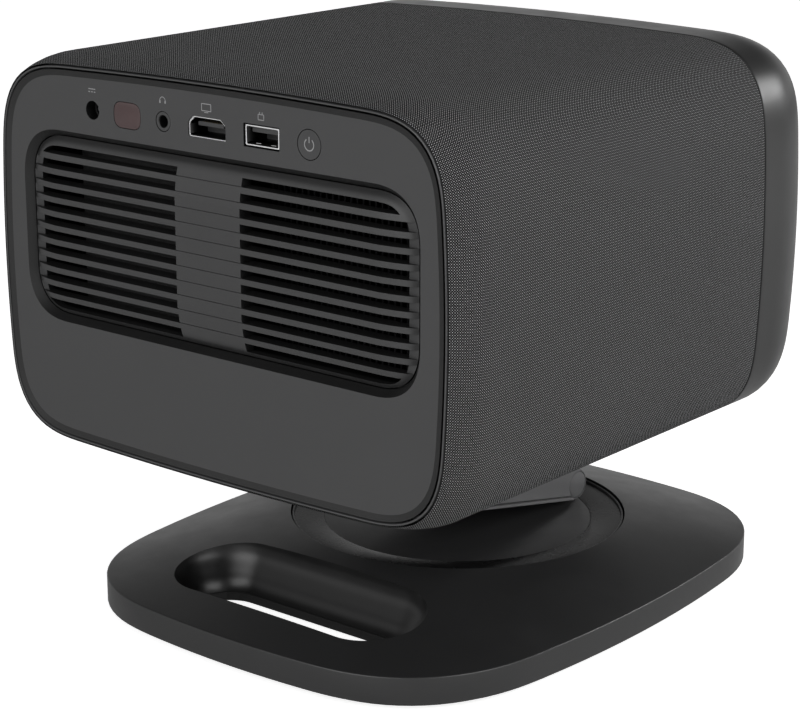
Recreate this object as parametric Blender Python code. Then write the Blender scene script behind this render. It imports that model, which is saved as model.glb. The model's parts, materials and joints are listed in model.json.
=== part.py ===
"""Video projector with a woven sleeve, on a base plate whose turntable pans and whose arm tilts.

Metres, +Z up. The back panel with the sockets faces -Y and the lens faces +Y.
The origin lies on the turning axis of the turntable, on the surface the base stands on.
"""
import math

import bmesh
import bpy
from mathutils import Matrix, Vector

# Fits between neighbours
GAP = 0.0003
OVERRUN = 0.004

# Roundness of the outlines and of the turned pieces
CORNER_STEPS = 6
SIDE_STEPS = 3
STEPS_LARGE = 40
STEPS_MEDIUM = 20
STEPS_SMALL = 12
SMOOTH_ANGLE = math.radians(35)

# Body outline, seen from the back
BODY_HALF_WIDTH = 0.0958
BODY_HALF_HEIGHT = 0.0651
BODY_CORNER = 0.0340
BODY_EXPONENT = 3.2
BODY_SIDE_BOW_SHARE = 0.040
BODY_TOP_BOW_SHARE = 0.030
BACK_Y = -0.1220

# Depths along the body, measured from the back panel towards the lens
SLEEVE_THICKNESS = 0.0012
SLEEVE_ROUNDING = 0.0062
SLEEVE_ROUND_DEPTH = 0.0059
SLEEVE_END_ANGLE = math.radians(54.5)
SLEEVE_FRONT_DEPTH = 0.1616
SHELL_THICKNESS = 0.0022
SHELL_BACK_DEPTH = 0.0063

# Lip and back panel, as insets from the body outline
LIP_OUTER_INSET = 0.0036
LIP_INNER_INSET = 0.0043
LIP_DEPTH = 0.0042
LIP_RAISE = 0.0002
LIP_FLANGE_INSET = 0.0072
LIP_FLANGE_DEPTH = 0.0060
PANEL_INSET = 0.0051
PANEL_FLAT_INSET = 0.0077
PANEL_BORDER_DROP = 0.0014
PANEL_THICKNESS = 0.0037

# Vent recess and its pillow-shaped insert
VENT_SIDE_MARGIN = 0.0142
VENT_BOTTOM_MARGIN = 0.0431
PORT_TOP_MARGIN = 0.0167
PORT_VENT_DISTANCE = 0.0080
VENT_HALF_WIDTH = BODY_HALF_WIDTH - VENT_SIDE_MARGIN
PORT_UP = BODY_HALF_HEIGHT - PORT_TOP_MARGIN
VENT_TOP_UP = PORT_UP - PORT_VENT_DISTANCE
VENT_BOTTOM_UP = VENT_BOTTOM_MARGIN - BODY_HALF_HEIGHT
VENT_HALF_HEIGHT = 0.5 * (VENT_TOP_UP - VENT_BOTTOM_UP)
VENT_CENTRE_UP = 0.5 * (VENT_TOP_UP + VENT_BOTTOM_UP)
VENT_CORNER = 0.0184
VENT_EXPONENT = 2.6
VENT_WALL = 0.0014
VENT_DEPTH = 0.0090
VENT_FUNNEL_WIDTH = 0.0019
VENT_FUNNEL_DEPTH = 0.0024
VENT_LEDGE_DEPTH = 0.0048
VENT_LEDGE_WIDTH = 0.0024
INSERT_CLEARANCE = 0.0004
INSERT_INSET = VENT_FUNNEL_WIDTH + INSERT_CLEARANCE
INSERT_BACK_DEPTH = VENT_LEDGE_DEPTH - GAP
INSERT_FRAME_DEPTH = VENT_FUNNEL_DEPTH
INSERT_ROLL_WIDTH = 0.0120
INSERT_ROLL_HEIGHT = 0.0032
INSERT_ROLL_WIDTH_SHARES = (0.0, 0.12, 0.22, 0.34, 0.60, 1.0)
INSERT_ROLL_HEIGHT_SHARES = (0.0, 0.30, 0.46, 0.58, 0.80, 1.0)
SLAT_PITCH = 0.0046
SLAT_HEIGHT = 0.0018
COLUMN_HALF_WIDTH = 0.0134
OPENING_SIDE_MARGIN = 0.0059
OPENING_TOP_MARGIN = 0.0053
OPENING_BOTTOM_MARGIN = 0.0037
OPENING_CORNER = 0.0105
OPENING_END_STEPS = 4
FIRST_OPENING_HEIGHT = 0.0027
OPENING_HALF_WIDTH = VENT_HALF_WIDTH - OPENING_SIDE_MARGIN
OPENING_TOP = VENT_HALF_HEIGHT - OPENING_TOP_MARGIN
OPENING_BOTTOM = OPENING_BOTTOM_MARGIN - VENT_HALF_HEIGHT
FIRST_SLAT_TOP = OPENING_TOP - FIRST_OPENING_HEIGHT
SLAT_COUNT = round((FIRST_SLAT_TOP - OPENING_BOTTOM) / SLAT_PITCH)

# Row of sockets on the back panel
JACK_SPACING = 0.0182
WINDOW_SPACING = 0.0155
DC_SPACING = 0.0152
DATA_SPACING = 0.0220
BUTTON_SPACING = 0.0186
VIDEO_X = 0.0
JACK_X = VIDEO_X - JACK_SPACING
WINDOW_X = JACK_X - WINDOW_SPACING
DC_X = WINDOW_X - DC_SPACING
DATA_X = VIDEO_X + DATA_SPACING
BUTTON_X = DATA_X + BUTTON_SPACING
DC_HOLE_RADIUS = 0.00295
WINDOW_HALF_WIDTH = 0.0057
WINDOW_HALF_HEIGHT = 0.0040
WINDOW_SIDE_FLAT = 0.0004
WINDOW_CORNER = WINDOW_HALF_HEIGHT - WINDOW_SIDE_FLAT
WINDOW_FLANGE = 0.0012
WINDOW_FLANGE_THICKNESS = 0.0012
JACK_RING_RADIUS = 0.0030
JACK_BORE_RADIUS = 0.0018
PLUG_BODY_RADIUS = 0.0044
PLUG_BODY_DEPTH = 0.0140
DC_BORE_EDGE = 0.00025
DC_BORE_RADIUS = DC_HOLE_RADIUS - DC_BORE_EDGE
DC_PIN_RADIUS = 0.0008
DC_PIN_START_DEPTH = 0.0030
VIDEO_HALF_WIDTH = 0.0073
VIDEO_HALF_HEIGHT = 0.0028
VIDEO_CHAMFER_WIDTH = 0.0020
VIDEO_CHAMFER_HEIGHT = 0.0018
VIDEO_DEPTH = 0.0120
DATA_HALF_WIDTH = 0.0067
DATA_HALF_HEIGHT = 0.0031
DATA_DEPTH = 0.0140
SOCKET_WALL = 0.0005
SOCKET_HOLE_MARGIN = 0.0004
SOCKET_FRONT_DEPTH = 0.0004
SOCKET_FLOOR = 0.0010
SOCKET_FOOT_START_DEPTH = 0.0062
TONGUE_START_DEPTH = 0.0018
VIDEO_TONGUE_MARGIN = 0.0021
VIDEO_TONGUE_HALF_WIDTH = VIDEO_HALF_WIDTH - VIDEO_TONGUE_MARGIN
VIDEO_TONGUE_THICKNESS = 0.0012
VIDEO_TONGUE_UP = 0.0002
DATA_TONGUE_MARGIN = 0.0015
DATA_TONGUE_HALF_WIDTH = DATA_HALF_WIDTH - DATA_TONGUE_MARGIN
DATA_TONGUE_THICKNESS = 0.0017
DATA_TONGUE_UP = 0.0008
BUTTON_RADIUS = 0.0044
BUTTON_FLANGE_WIDTH = 0.0010
BUTTON_FLANGE_RADIUS = BUTTON_RADIUS + BUTTON_FLANGE_WIDTH
BUTTON_FLANGE_THICKNESS = 0.0009
BUTTON_STEM_RADIUS = 0.0015
BUTTON_TRAVEL = 0.0004
BUTTON_STEM_LENGTH = 0.0012
SWITCH_HALF_WIDTH = 0.0030
SWITCH_DEPTH = 0.0040
BOARD_THICKNESS = 0.0016
PORT_BOARD_LEFT_MARGIN = 0.0071
PORT_BOARD_RIGHT_MARGIN = 0.0094
PORT_BOARD_LEFT = DC_X - PORT_BOARD_LEFT_MARGIN
PORT_BOARD_RIGHT = BUTTON_X + PORT_BOARD_RIGHT_MARGIN
PORT_BOARD_BACK_DEPTH = 0.0060
PORT_BOARD_FRONT_DEPTH = 0.0240

# Front ring, as runs from the sleeve's front edge and insets along its outer and inner faces
RING_START_DEPTH = SLEEVE_FRONT_DEPTH + GAP
RING_OUTER_RUNS = (0.0, 0.0121, 0.0189, 0.0249, 0.0298, 0.0341, 0.0371)
RING_OUTER_INSETS = (0.0, 0.0, 0.0008, 0.0026, 0.0051, 0.0083, 0.0125)
RING_LIP_RUN = 0.0377
RING_LIP_INSET = 0.0152
RING_INNER_RUNS = (0.0337, 0.0337, 0.0261, 0.0121, 0.0)
RING_INNER_INSETS = (0.0158, 0.0120, 0.0072, 0.0037, 0.0037)

# Front panel, lens and sensor window
FRONT_PANEL_INSET = 0.0126
FRONT_PANEL_THICKNESS = 0.0023
LENS_X = 0.0
LENS_UP = 0.0040
LENS_HOLE_RADIUS = 0.0245
BEZEL_OUTER_RADIUS = LENS_HOLE_RADIUS - GAP
BEZEL_RECESS = 0.0024
BEZEL_FRONT_DEPTH = RING_START_DEPTH + RING_LIP_RUN - BEZEL_RECESS
BEZEL_FUNNEL_SHARE = 0.55
BEZEL_BACK_LENGTH = 0.0012
BEZEL_FLANGE_WIDTH = 0.0030
BARREL_RADIUS = 0.0160
BARREL_WALL = 0.0020
BARREL_STEP_WIDTH = 0.0015
BARREL_BORE_RADIUS = BARREL_RADIUS - BARREL_WALL
BARREL_STEP_RADIUS = BARREL_BORE_RADIUS - BARREL_STEP_WIDTH
BARREL_LENGTH = 0.0330
BARREL_RECESS = 0.0082
BARREL_CLEARANCE = 0.0020
BARREL_FRONT_DEPTH = BEZEL_FRONT_DEPTH - BARREL_RECESS
BARREL_BACK_DEPTH = BARREL_FRONT_DEPTH - BARREL_LENGTH
BEZEL_INNER_RADIUS = BARREL_RADIUS + BARREL_CLEARANCE
BARREL_SEAT = 0.0040
LENS_EDGE = 0.0020
LENS_BULGE = 0.0030
LENS_BULGE_SHARE = 0.75
TUBE_WALL = 0.0022
TUBE_FLANGE_WIDTH = 0.0030
TUBE_FLANGE_THICKNESS = 0.0020
TUBE_LENGTH = 0.0277
OPTICS_BARREL_DISTANCE = 0.0100
OPTICS_FRONT_DEPTH = BARREL_BACK_DEPTH - OPTICS_BARREL_DISTANCE
SENSOR_SHIFT = 0.0032
SENSOR_X = (0.5 * (LENS_X + BEZEL_OUTER_RADIUS + BEZEL_FLANGE_WIDTH + BODY_HALF_WIDTH - FRONT_PANEL_INSET)
            - SENSOR_SHIFT)
SENSOR_UP = 0.0180
SENSOR_HALF_WIDTH = 0.0110
SENSOR_HALF_HEIGHT = 0.0042
SENSOR_FLANGE = 0.0012
SENSOR_FLANGE_THICKNESS = 0.0010

# Deck and the units it carries
DECK_UP = -0.0300
DECK_THICKNESS = 0.0020
DECK_BACK_DEPTH = 0.0120
DECK_SIDE_INSET = 0.0050
DECK_HALF_WIDTH = BODY_HALF_WIDTH - DECK_SIDE_INSET
DECK_FRONT_DEPTH = BARREL_BACK_DEPTH
SINK_LEFT = 0.0140
SINK_SIDE_INSET = 0.0196
SINK_RIGHT = BODY_HALF_WIDTH - SINK_SIDE_INSET
SINK_BACK_DEPTH = 0.0130
SINK_FIN_DEPTH = 0.0300
SINK_BASE_THICKNESS = 0.0040
SINK_FINS = 27
SINK_FIN_SHARE = 0.30
BLOWER_SIDE_INSET = 0.0253
BLOWER_WIDTH = 0.0560
BLOWER_LEFT = BLOWER_SIDE_INSET - BODY_HALF_WIDTH
BLOWER_RIGHT = BLOWER_LEFT + BLOWER_WIDTH
BLOWER_BACK_DEPTH = 0.0150
BLOWER_LENGTH = 0.0570
BLOWER_FRONT_DEPTH = BLOWER_BACK_DEPTH + BLOWER_LENGTH
BLOWER_TOP_DROP = 0.0044
BLOWER_TOP_UP = VENT_TOP_UP - BLOWER_TOP_DROP
BLOWER_CORNER = 0.0200
BLOWER_WALL = 0.0016
BLOWER_INLET_RADIUS = 0.0170
WHEEL_HUB_RADIUS = 0.0090
WHEEL_RADIUS = 0.0220
WHEEL_BLADES = 9
WHEEL_BLADE_THICKNESS = 0.0010
WHEEL_BLADE_OVERLAP = 0.0010
WHEEL_DISC_THICKNESS = 0.0015
WHEEL_CLEARANCE = 0.0020
AXLE_RADIUS = 0.0020
POST_RADIUS = 0.0070
POST_HEIGHT = 0.0030
LAMP_HALF_WIDTH = 0.0220
LAMP_SINK_INSET = 0.0280
LAMP_X = SINK_LEFT + LAMP_SINK_INSET
LAMP_SINK_DISTANCE = 0.0090
LAMP_LENGTH = 0.0320
LAMP_BACK_DEPTH = SINK_BACK_DEPTH + SINK_FIN_DEPTH + SINK_BASE_THICKNESS + LAMP_SINK_DISTANCE
LAMP_FRONT_DEPTH = LAMP_BACK_DEPTH + LAMP_LENGTH
LAMP_TOP_UP = 0.0200
PIPE_RADIUS = 0.0030
PIPE_SPREAD = 0.0130
PIPE_UP = -0.0020
SPEAKER_SIDE_INSET = 0.0078
SPEAKER_WIDTH = 0.0280
SPEAKER_OUTER_X = BODY_HALF_WIDTH - SPEAKER_SIDE_INSET
SPEAKER_INNER_X = SPEAKER_OUTER_X - SPEAKER_WIDTH
OPTICS_SPEAKER_DISTANCE = 0.0160
OPTICS_HALF_WIDTH = SPEAKER_INNER_X - OPTICS_SPEAKER_DISTANCE
OPTICS_X = 0.0
OPTICS_TOP_UP = 0.0290
UNIT_BEVEL = 0.0020
MAIN_BOARD_OVERHANG = 0.0120
MAIN_BOARD_FRONT_INSET = 0.0020
MAIN_BOARD_LENGTH = 0.0700
MAIN_BOARD_HALF_WIDTH = OPTICS_HALF_WIDTH + MAIN_BOARD_OVERHANG
MAIN_BOARD_FRONT_DEPTH = OPTICS_FRONT_DEPTH - MAIN_BOARD_FRONT_INSET
MAIN_BOARD_BACK_DEPTH = MAIN_BOARD_FRONT_DEPTH - MAIN_BOARD_LENGTH
MOTOR_X = 0.0270
MOTOR_UP = -0.0150
MOTOR_RADIUS = 0.0055
MOTOR_LENGTH = 0.0160
SCREW_RADIUS = 0.0015
FOCUS_SCREW_LENGTH = 0.0200
NUT_EAR_RADIUS = 0.0042
NUT_EAR_OFFSET = 0.0210
NUT_EAR_THICKNESS = 0.0040
NUT_EAR_BACK_DEPTH = BARREL_BACK_DEPTH + NUT_EAR_OFFSET
NUT_EAR_FRONT_DEPTH = NUT_EAR_BACK_DEPTH + NUT_EAR_THICKNESS
SPEAKER_LAMP_DISTANCE = 0.0070
SPEAKER_LENGTH = 0.0550
SPEAKER_BACK_DEPTH = LAMP_FRONT_DEPTH + SPEAKER_LAMP_DISTANCE
SPEAKER_FRONT_DEPTH = SPEAKER_BACK_DEPTH + SPEAKER_LENGTH
SPEAKER_TOP_UP = 0.0260
SPEAKER_POCKET_RADIUS = 0.0190
SPEAKER_POCKET_DEPTH = 0.0180
CONE_FLANGE_OVERHANG = 0.0025
CONE_FLANGE_RADIUS = SPEAKER_POCKET_RADIUS + CONE_FLANGE_OVERHANG
CONE_FLANGE_THICKNESS = 0.0015
CONE_CLEARANCE = 0.0015
CONE_RADIUS = SPEAKER_POCKET_RADIUS - CONE_CLEARANCE
CONE_DEPTH = 0.0080
CONE_MAGNET_RADIUS = 0.0100
SOUND_HOLE_RADIUS = CONE_RADIUS

# Base plate outline and heights
POCKET_RADIUS = 0.0588
SLOT_HALF_WIDTH = 0.0183
SLOT_FRONT_BRIDGE = 0.0078
SLOT_BACK_BRIDGE = 0.0173
SLOT_SIDE_BRIDGE = 0.0385
BASE_FRONT_BRIDGE = 0.0347
BASE_HALF_WIDTH = 0.0883
SLOT_HALF_LENGTH = BASE_HALF_WIDTH - SLOT_SIDE_BRIDGE
SLOT_CENTRE_Y = -POCKET_RADIUS - SLOT_FRONT_BRIDGE - SLOT_HALF_WIDTH
BASE_BACK_Y = SLOT_CENTRE_Y - SLOT_HALF_WIDTH - SLOT_BACK_BRIDGE
BASE_FRONT_Y = POCKET_RADIUS + BASE_FRONT_BRIDGE
BASE_HALF_LENGTH = 0.5 * (BASE_FRONT_Y - BASE_BACK_Y)
BASE_CENTRE_Y = 0.5 * (BASE_FRONT_Y + BASE_BACK_Y)
BASE_CORNER = 0.0514
BASE_EXPONENT = 2.9
BASE_SIDE_BOW_SHARE = 0.12
BASE_END_BOW_SHARE = 0.08
FOOT_HEIGHT = 0.0009
COVER_BOTTOM_Z = FOOT_HEIGHT + GAP
COVER_THICKNESS = 0.0022
COVER_SKIRT_CLEARANCE = 0.0002
BASE_SKIRT_Z = COVER_BOTTOM_Z + COVER_THICKNESS + COVER_SKIRT_CLEARANCE
BASE_CAVITY_HEIGHT = 0.0050
BASE_ROOF_THICKNESS = 0.0031
BASE_ROOF_Z = BASE_SKIRT_Z + BASE_CAVITY_HEIGHT
BASE_RIM_Z = BASE_ROOF_Z + BASE_ROOF_THICKNESS
BASE_RIM_CHAMFER = 0.0005
BASE_WALL = 0.0032
DOME_POWER = 1.12
DOME_SHARES = (0.25, 0.60)
COVER_INSET = 0.0034
FOOT_INSET = 0.0050
FOOT_SLOT_MARGIN = 0.0020
BALLAST_INSET = 0.0060
BALLAST_THICKNESS = 0.0034
BALLAST_HOLE_RADIUS = 0.0220
BOSS_RADIUS = 0.0040
BOSS_SIDE_INSET = 0.0263
BOSS_FRONT_INSET = 0.0375
BOSS_BACK_INSET = 0.0425
BOSS_X = BASE_HALF_WIDTH - BOSS_SIDE_INSET
BOSS_FRONT_Y = BASE_FRONT_Y - BOSS_FRONT_INSET
BOSS_BACK_Y = BASE_BACK_Y + BOSS_BACK_INSET
BOSS_ROOF_OVERLAP = 0.0014
BOSS_TOP_Z = BASE_ROOF_Z + BOSS_ROOF_OVERLAP
BALLAST_BOSS_CLEARANCE = 0.0008
COVER_SCREW_HEAD_RADIUS = 0.0028
COVER_SCREW_HEAD_THICKNESS = 0.0007
COVER_SCREW_LENGTH = 0.0070
SCREW_SOCKET_RADIUS = 0.0010
SCREW_SOCKET_SHARE = 0.5

# Rolled walls of the carrying slot through the base
SLOT_ROLL_HEIGHTS = (0.0260, 0.0175, 0.0140, 0.0100, 0.0055, 0.0)
SLOT_ROLL_INSETS = (0.0, 0.0, 0.0008, 0.0032, 0.0060, 0.0068)
SLOT_WALL = 0.0030
SLOT_BLOCK_RISE = 0.0015
SLOT_BLOCK_TOP_Z = BASE_RIM_Z + SLOT_BLOCK_RISE
SLOT_STEPS = 8

# Turntable
POCKET_FLOOR_RISE = 0.0013
POCKET_FLOOR_Z = BASE_RIM_Z + POCKET_FLOOR_RISE
POCKET_FLOOR_THICKNESS = 0.0026
PLATTER_CLEARANCE = 0.0005
PLATTER_LIP_WIDTH = 0.0007
PLATTER_RADIUS = POCKET_RADIUS - PLATTER_CLEARANCE
PLATTER_LIP_RADIUS = PLATTER_RADIUS - PLATTER_LIP_WIDTH
PLATTER_THICKNESS = 0.0020
WASHER_THICKNESS = 0.0010
PLATTER_BOTTOM_Z = POCKET_FLOOR_Z + WASHER_THICKNESS + 2 * GAP
PLATTER_TOP_Z = PLATTER_BOTTOM_Z + PLATTER_THICKNESS
WASHER_EDGE_INSET = 0.0038
WASHER_OUTER_RADIUS = PLATTER_RADIUS - WASHER_EDGE_INSET
WASHER_INNER_RADIUS = 0.0140
DISC_HEIGHT = 0.0028
DISC_TOP_Z = PLATTER_TOP_Z + DISC_HEIGHT
BEVEL_RING_STEP = 0.0001
BEVEL_RING_RISE = 0.0006
PLATTER_LIP_RISE = 0.0007
BASE_BRINK_RISE = 0.0007
BEVEL_RING_INNER_Z = DISC_TOP_Z + BEVEL_RING_STEP
BEVEL_RING_OUTER_Z = BEVEL_RING_INNER_Z + BEVEL_RING_RISE
PLATTER_LIP_Z = BEVEL_RING_OUTER_Z + PLATTER_LIP_RISE
BASE_TOP_Z = PLATTER_LIP_Z + BASE_BRINK_RISE
BEVEL_RING_WIDTH = 0.0106
BEVEL_RING_INNER_RADIUS = PLATTER_LIP_RADIUS - BEVEL_RING_WIDTH
DISC_RADIUS = BEVEL_RING_INNER_RADIUS - GAP
DISC_THICKNESS = 0.0012
SPINDLE_RADIUS = 0.0090
SPINDLE_BORE_RADIUS = 0.0050
SPINDLE_FLANGE_RADIUS = 0.0170
SPINDLE_FLANGE_THICKNESS = 0.0010
SPINDLE_BOTTOM_Z = 0.0060
NUT_RADIUS = 0.0140
NUT_THICKNESS = 0.0024

# Tilting arm
TILT_EDGE_INSET = 0.0071
TILT_Y = DISC_RADIUS - TILT_EDGE_INSET
TILT_RISE = 0.0056
TILT_Z = DISC_TOP_Z + TILT_RISE
ARM_RISE = 0.0356
ARM_TOP_Z = TILT_Z + ARM_RISE
BODY_CENTRE_Z = ARM_TOP_Z + GAP + BODY_HALF_HEIGHT
ARM_BARREL_RADIUS = 0.0052
ARM_HALF_WIDTH = 0.0237
ARM_UNDER_ANGLE = math.radians(11.5)
ARM_FRONT_ANGLE = math.radians(41)
ARM_BACK_Y = -0.0400
ARM_BARREL_STEPS = 9
FLANGE_OVERHANG = 0.0016
FLANGE_HALF_WIDTH = ARM_HALF_WIDTH + FLANGE_OVERHANG
FLANGE_THICKNESS = 0.0009
FLANGE_START = 0.0030
LUG_HALF_WIDTH = 0.0103
LUG_FOOT_LENGTH = 0.0090
LUG_RADIUS = 0.0050
NOTCH_CLEARANCE = 0.0030
NOTCH_HALF_WIDTH = LUG_HALF_WIDTH + GAP
NOTCH_RADIUS = LUG_RADIUS + NOTCH_CLEARANCE
PIN_RADIUS = 0.0018
CAP_EDGE_WIDTH = 0.0006
CAP_RADIUS = ARM_BARREL_RADIUS - CAP_EDGE_WIDTH
CAP_THICKNESS = 0.0010
PIN_END_CLEARANCE = 0.0012
PIN_HALF_LENGTH = ARM_HALF_WIDTH - CAP_THICKNESS - PIN_END_CLEARANCE
MOUNT_PLATE_HALF_WIDTH = 0.0300
MOUNT_PLATE_FRONT_Y = 0.0140
MOUNT_PLATE_BACK_Y = -0.0460
MOUNT_PLATE_THICKNESS = 0.0030
MOUNT_SCREW_X = 0.0150
MOUNT_SCREW_Y = -0.0160
MOUNT_SCREW_HEAD_RADIUS = 0.0030
MOUNT_SCREW_HEAD_THICKNESS = 0.0018
MOUNT_SCREW_GRIP = 0.0070

MATERIALS = {
    "satin_grey_plastic": ((0.095, 0.096, 0.098), 0.42, 0.0),
    "panel_grey_plastic": ((0.088, 0.089, 0.091), 0.50, 0.0),
    "dark_trim_plastic": ((0.030, 0.030, 0.032), 0.30, 0.0),
    "gloss_black_plastic": ((0.010, 0.010, 0.011), 0.10, 0.0),
    "woven_fabric": ((0.105, 0.106, 0.108), 0.90, 0.0),
    "rubber": ((0.020, 0.020, 0.020), 0.80, 0.0),
    "steel": ((0.55, 0.56, 0.58), 0.35, 1.0),
    "dark_steel": ((0.12, 0.12, 0.13), 0.40, 1.0),
    "aluminium": ((0.32, 0.33, 0.34), 0.45, 1.0),
    "copper": ((0.70, 0.34, 0.20), 0.30, 1.0),
    "receiver_plastic": ((0.130, 0.088, 0.088), 0.25, 0.0),
    "black_plastic": ((0.018, 0.018, 0.019), 0.55, 0.0),
    "board_green": ((0.020, 0.090, 0.045), 0.45, 0.0),
    "glass": ((0.60, 0.66, 0.72), 0.04, 0.0),
    "white_plastic": ((0.70, 0.70, 0.68), 0.45, 0.0),
    "cone_paper": ((0.040, 0.040, 0.042), 0.75, 0.0),
}


def clear_objects():
    for item in list(bpy.data.objects):
        bpy.data.objects.remove(item, do_unlink=True)


def material(part_name, kind):
    colour, roughness, metallic = MATERIALS[kind]
    made = bpy.data.materials.new(kind + "_" + part_name)
    made.use_nodes = True
    shader = made.node_tree.nodes["Principled BSDF"]
    shader.inputs["Base Color"].default_value = (*colour, 1.0)
    shader.inputs["Roughness"].default_value = roughness
    shader.inputs["Metallic"].default_value = metallic
    made.diffuse_color = (*colour, 1.0)
    return made


# Outlines

def squircle(half_x, half_y, corner, exponent, bow_x=0.0, bow_y=0.0):
    """Closed outline with squared-off round corners and slightly bowed sides."""
    points = []
    for sign_x, sign_y, start in ((1, 1, 0), (-1, 1, 1), (-1, -1, 2), (1, -1, 3)):
        arc = []
        for step in range(CORNER_STEPS + 1):
            turn = 0.5 * math.pi * step / CORNER_STEPS
            along_x = max(math.cos(turn), 0.0) ** (2.0 / exponent)
            along_y = max(math.sin(turn), 0.0) ** (2.0 / exponent)
            arc.append((sign_x * (half_x - corner + corner * along_x),
                        sign_y * (half_y - corner + corner * along_y)))
        if start % 2:
            arc.reverse()
        if points:
            points += between(points[-1], arc[0], SIDE_STEPS)
        points += arc
    points += between(points[-1], points[0], SIDE_STEPS)
    return [(x * (1.0 - bow_x * (y / half_y) ** 2), y * (1.0 - bow_y * (x / half_x) ** 2)) for x, y in points]


def between(first, last, steps):
    """Points strictly between two outline points."""
    inner = []
    for step in range(1, steps):
        share = step / steps
        inner.append((first[0] + (last[0] - first[0]) * share, first[1] + (last[1] - first[1]) * share))
    return inner


def stadium(half_length, half_width, steps):
    points = []
    straight = half_length - half_width
    for side, start in ((1, -0.5 * math.pi), (-1, 0.5 * math.pi)):
        for step in range(steps + 1):
            turn = start + math.pi * step / steps
            points.append((side * straight + half_width * math.cos(turn), half_width * math.sin(turn)))
    return points


def rectangle(left, right, low, high):
    return [(left, low), (right, low), (right, high), (left, high)]


def circle(radius, steps, centre=(0.0, 0.0)):
    return [(centre[0] + radius * math.cos(math.tau * step / steps),
             centre[1] + radius * math.sin(math.tau * step / steps)) for step in range(steps)]


def body_outline(inset):
    return squircle(BODY_HALF_WIDTH - inset, BODY_HALF_HEIGHT - inset, BODY_CORNER - inset, BODY_EXPONENT,
                    BODY_SIDE_BOW_SHARE, BODY_TOP_BOW_SHARE)


def vent_outline(inset):
    return squircle(VENT_HALF_WIDTH - inset, VENT_HALF_HEIGHT - inset, VENT_CORNER - inset, VENT_EXPONENT)


def base_outline(inset):
    points = squircle(BASE_HALF_WIDTH - inset, BASE_HALF_LENGTH - inset, BASE_CORNER - inset, BASE_EXPONENT,
                      BASE_SIDE_BOW_SHARE, BASE_END_BOW_SHARE)
    return [(x, y + BASE_CENTRE_Y) for x, y in points]


def level_ring(points, z):
    return [Vector((x, y, z)) for x, y in points]


def upright_ring(points, depth, up=0.0, x=0.0):
    """Outline seen from the back, stood up at a depth behind the back panel."""
    return [Vector((x + px, BACK_Y + depth, BODY_CENTRE_Z + up + pz)) for px, pz in points]


# Solids

def strip(rings, closed):
    """Joined rings: a closed section when closed is true, otherwise capped at both ends."""
    mesh = bmesh.new()
    rows = [[mesh.verts.new(point) for point in ring] for ring in rings]
    count = len(rows[0])
    pairs = list(zip(rows, rows[1:]))
    if closed:
        pairs.append((rows[-1], rows[0]))
    for low, high in pairs:
        for index in range(count):
            after = (index + 1) % count
            mesh.faces.new((low[index], low[after], high[after], high[index]))
    if not closed:
        mesh.faces.new(rows[0])
        mesh.faces.new(rows[-1])
    return mesh


def prism(points, low, high):
    return strip([level_ring(points, low), level_ring(points, high)], False)


def upright_prism(points, back, front, up=0.0, x=0.0):
    return strip([upright_ring(points, back, up, x), upright_ring(points, front, up, x)], False)


def box(low, high, bevel=0.0):
    mesh = prism(rectangle(low[0], high[0], low[1], high[1]), low[2], high[2])
    if bevel:
        bmesh.ops.bevel(mesh, geom=mesh.edges[:], offset=bevel, segments=1, profile=0.5, affect="EDGES")
    return mesh


def unit_box(left, right, back, front, low, high, bevel=0.0):
    """Box inside the body, given by depths from the back panel and heights from the body centre."""
    return box((left, BACK_Y + back, BODY_CENTRE_Z + low), (right, BACK_Y + front, BODY_CENTRE_Z + high),
               bevel)


def turned(profile, steps, axis="Z", centre=(0.0, 0.0, 0.0)):
    """Piece turned from (radius, height) points; a profile that starts and ends at radius zero is solid."""
    mesh = bmesh.new()
    rows = []
    for radius, height in profile:
        if radius == 0.0:
            rows.append([mesh.verts.new((0.0, 0.0, height))])
        else:
            rows.append([mesh.verts.new((x, y, height)) for x, y in circle(radius, steps)])
    pairs = list(zip(rows, rows[1:]))
    if len(rows[0]) > 1:
        pairs.append((rows[-1], rows[0]))
    for low, high in pairs:
        for index in range(steps):
            after = (index + 1) % steps
            corners = [low[index % len(low)], low[after % len(low)], high[after % len(high)],
                       high[index % len(high)]]
            mesh.faces.new(list(dict.fromkeys(corners)))
    turn = {"X": Matrix.Rotation(math.radians(90), 4, "Y"), "Y": Matrix.Rotation(math.radians(-90), 4, "X"),
            "Z": Matrix.Identity(4)}[axis]
    mesh.transform(Matrix.Translation(centre) @ turn)
    return mesh


def cylinder(radius, low, high, steps, axis="Z", centre=(0.0, 0.0, 0.0)):
    return turned([(0.0, low), (radius, low), (radius, high), (0.0, high)], steps, axis, centre)


def tube(inner, outer, low, high, steps, axis="Z", centre=(0.0, 0.0, 0.0)):
    return turned([(inner, low), (outer, low), (outer, high), (inner, high)], steps, axis, centre)


def lens_point(depth=0.0):
    return (LENS_X, BACK_Y + depth, BODY_CENTRE_Z + LENS_UP)


def port_point(x):
    return (x, BACK_Y, BODY_CENTRE_Z + PORT_UP)


def merged(meshes):
    """One mesh of several that lie apart."""
    whole = meshes[0]
    for mesh in meshes[1:]:
        data = bpy.data.meshes.new("shape")
        mesh.to_mesh(data)
        mesh.free()
        whole.from_mesh(data)
        bpy.data.meshes.remove(data)
    return whole


def temporary(mesh):
    bmesh.ops.recalc_face_normals(mesh, faces=mesh.faces[:])
    data = bpy.data.meshes.new("shape")
    mesh.to_mesh(data)
    mesh.free()
    made = bpy.data.objects.new("shape", data)
    bpy.context.scene.collection.objects.link(made)
    return made


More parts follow.
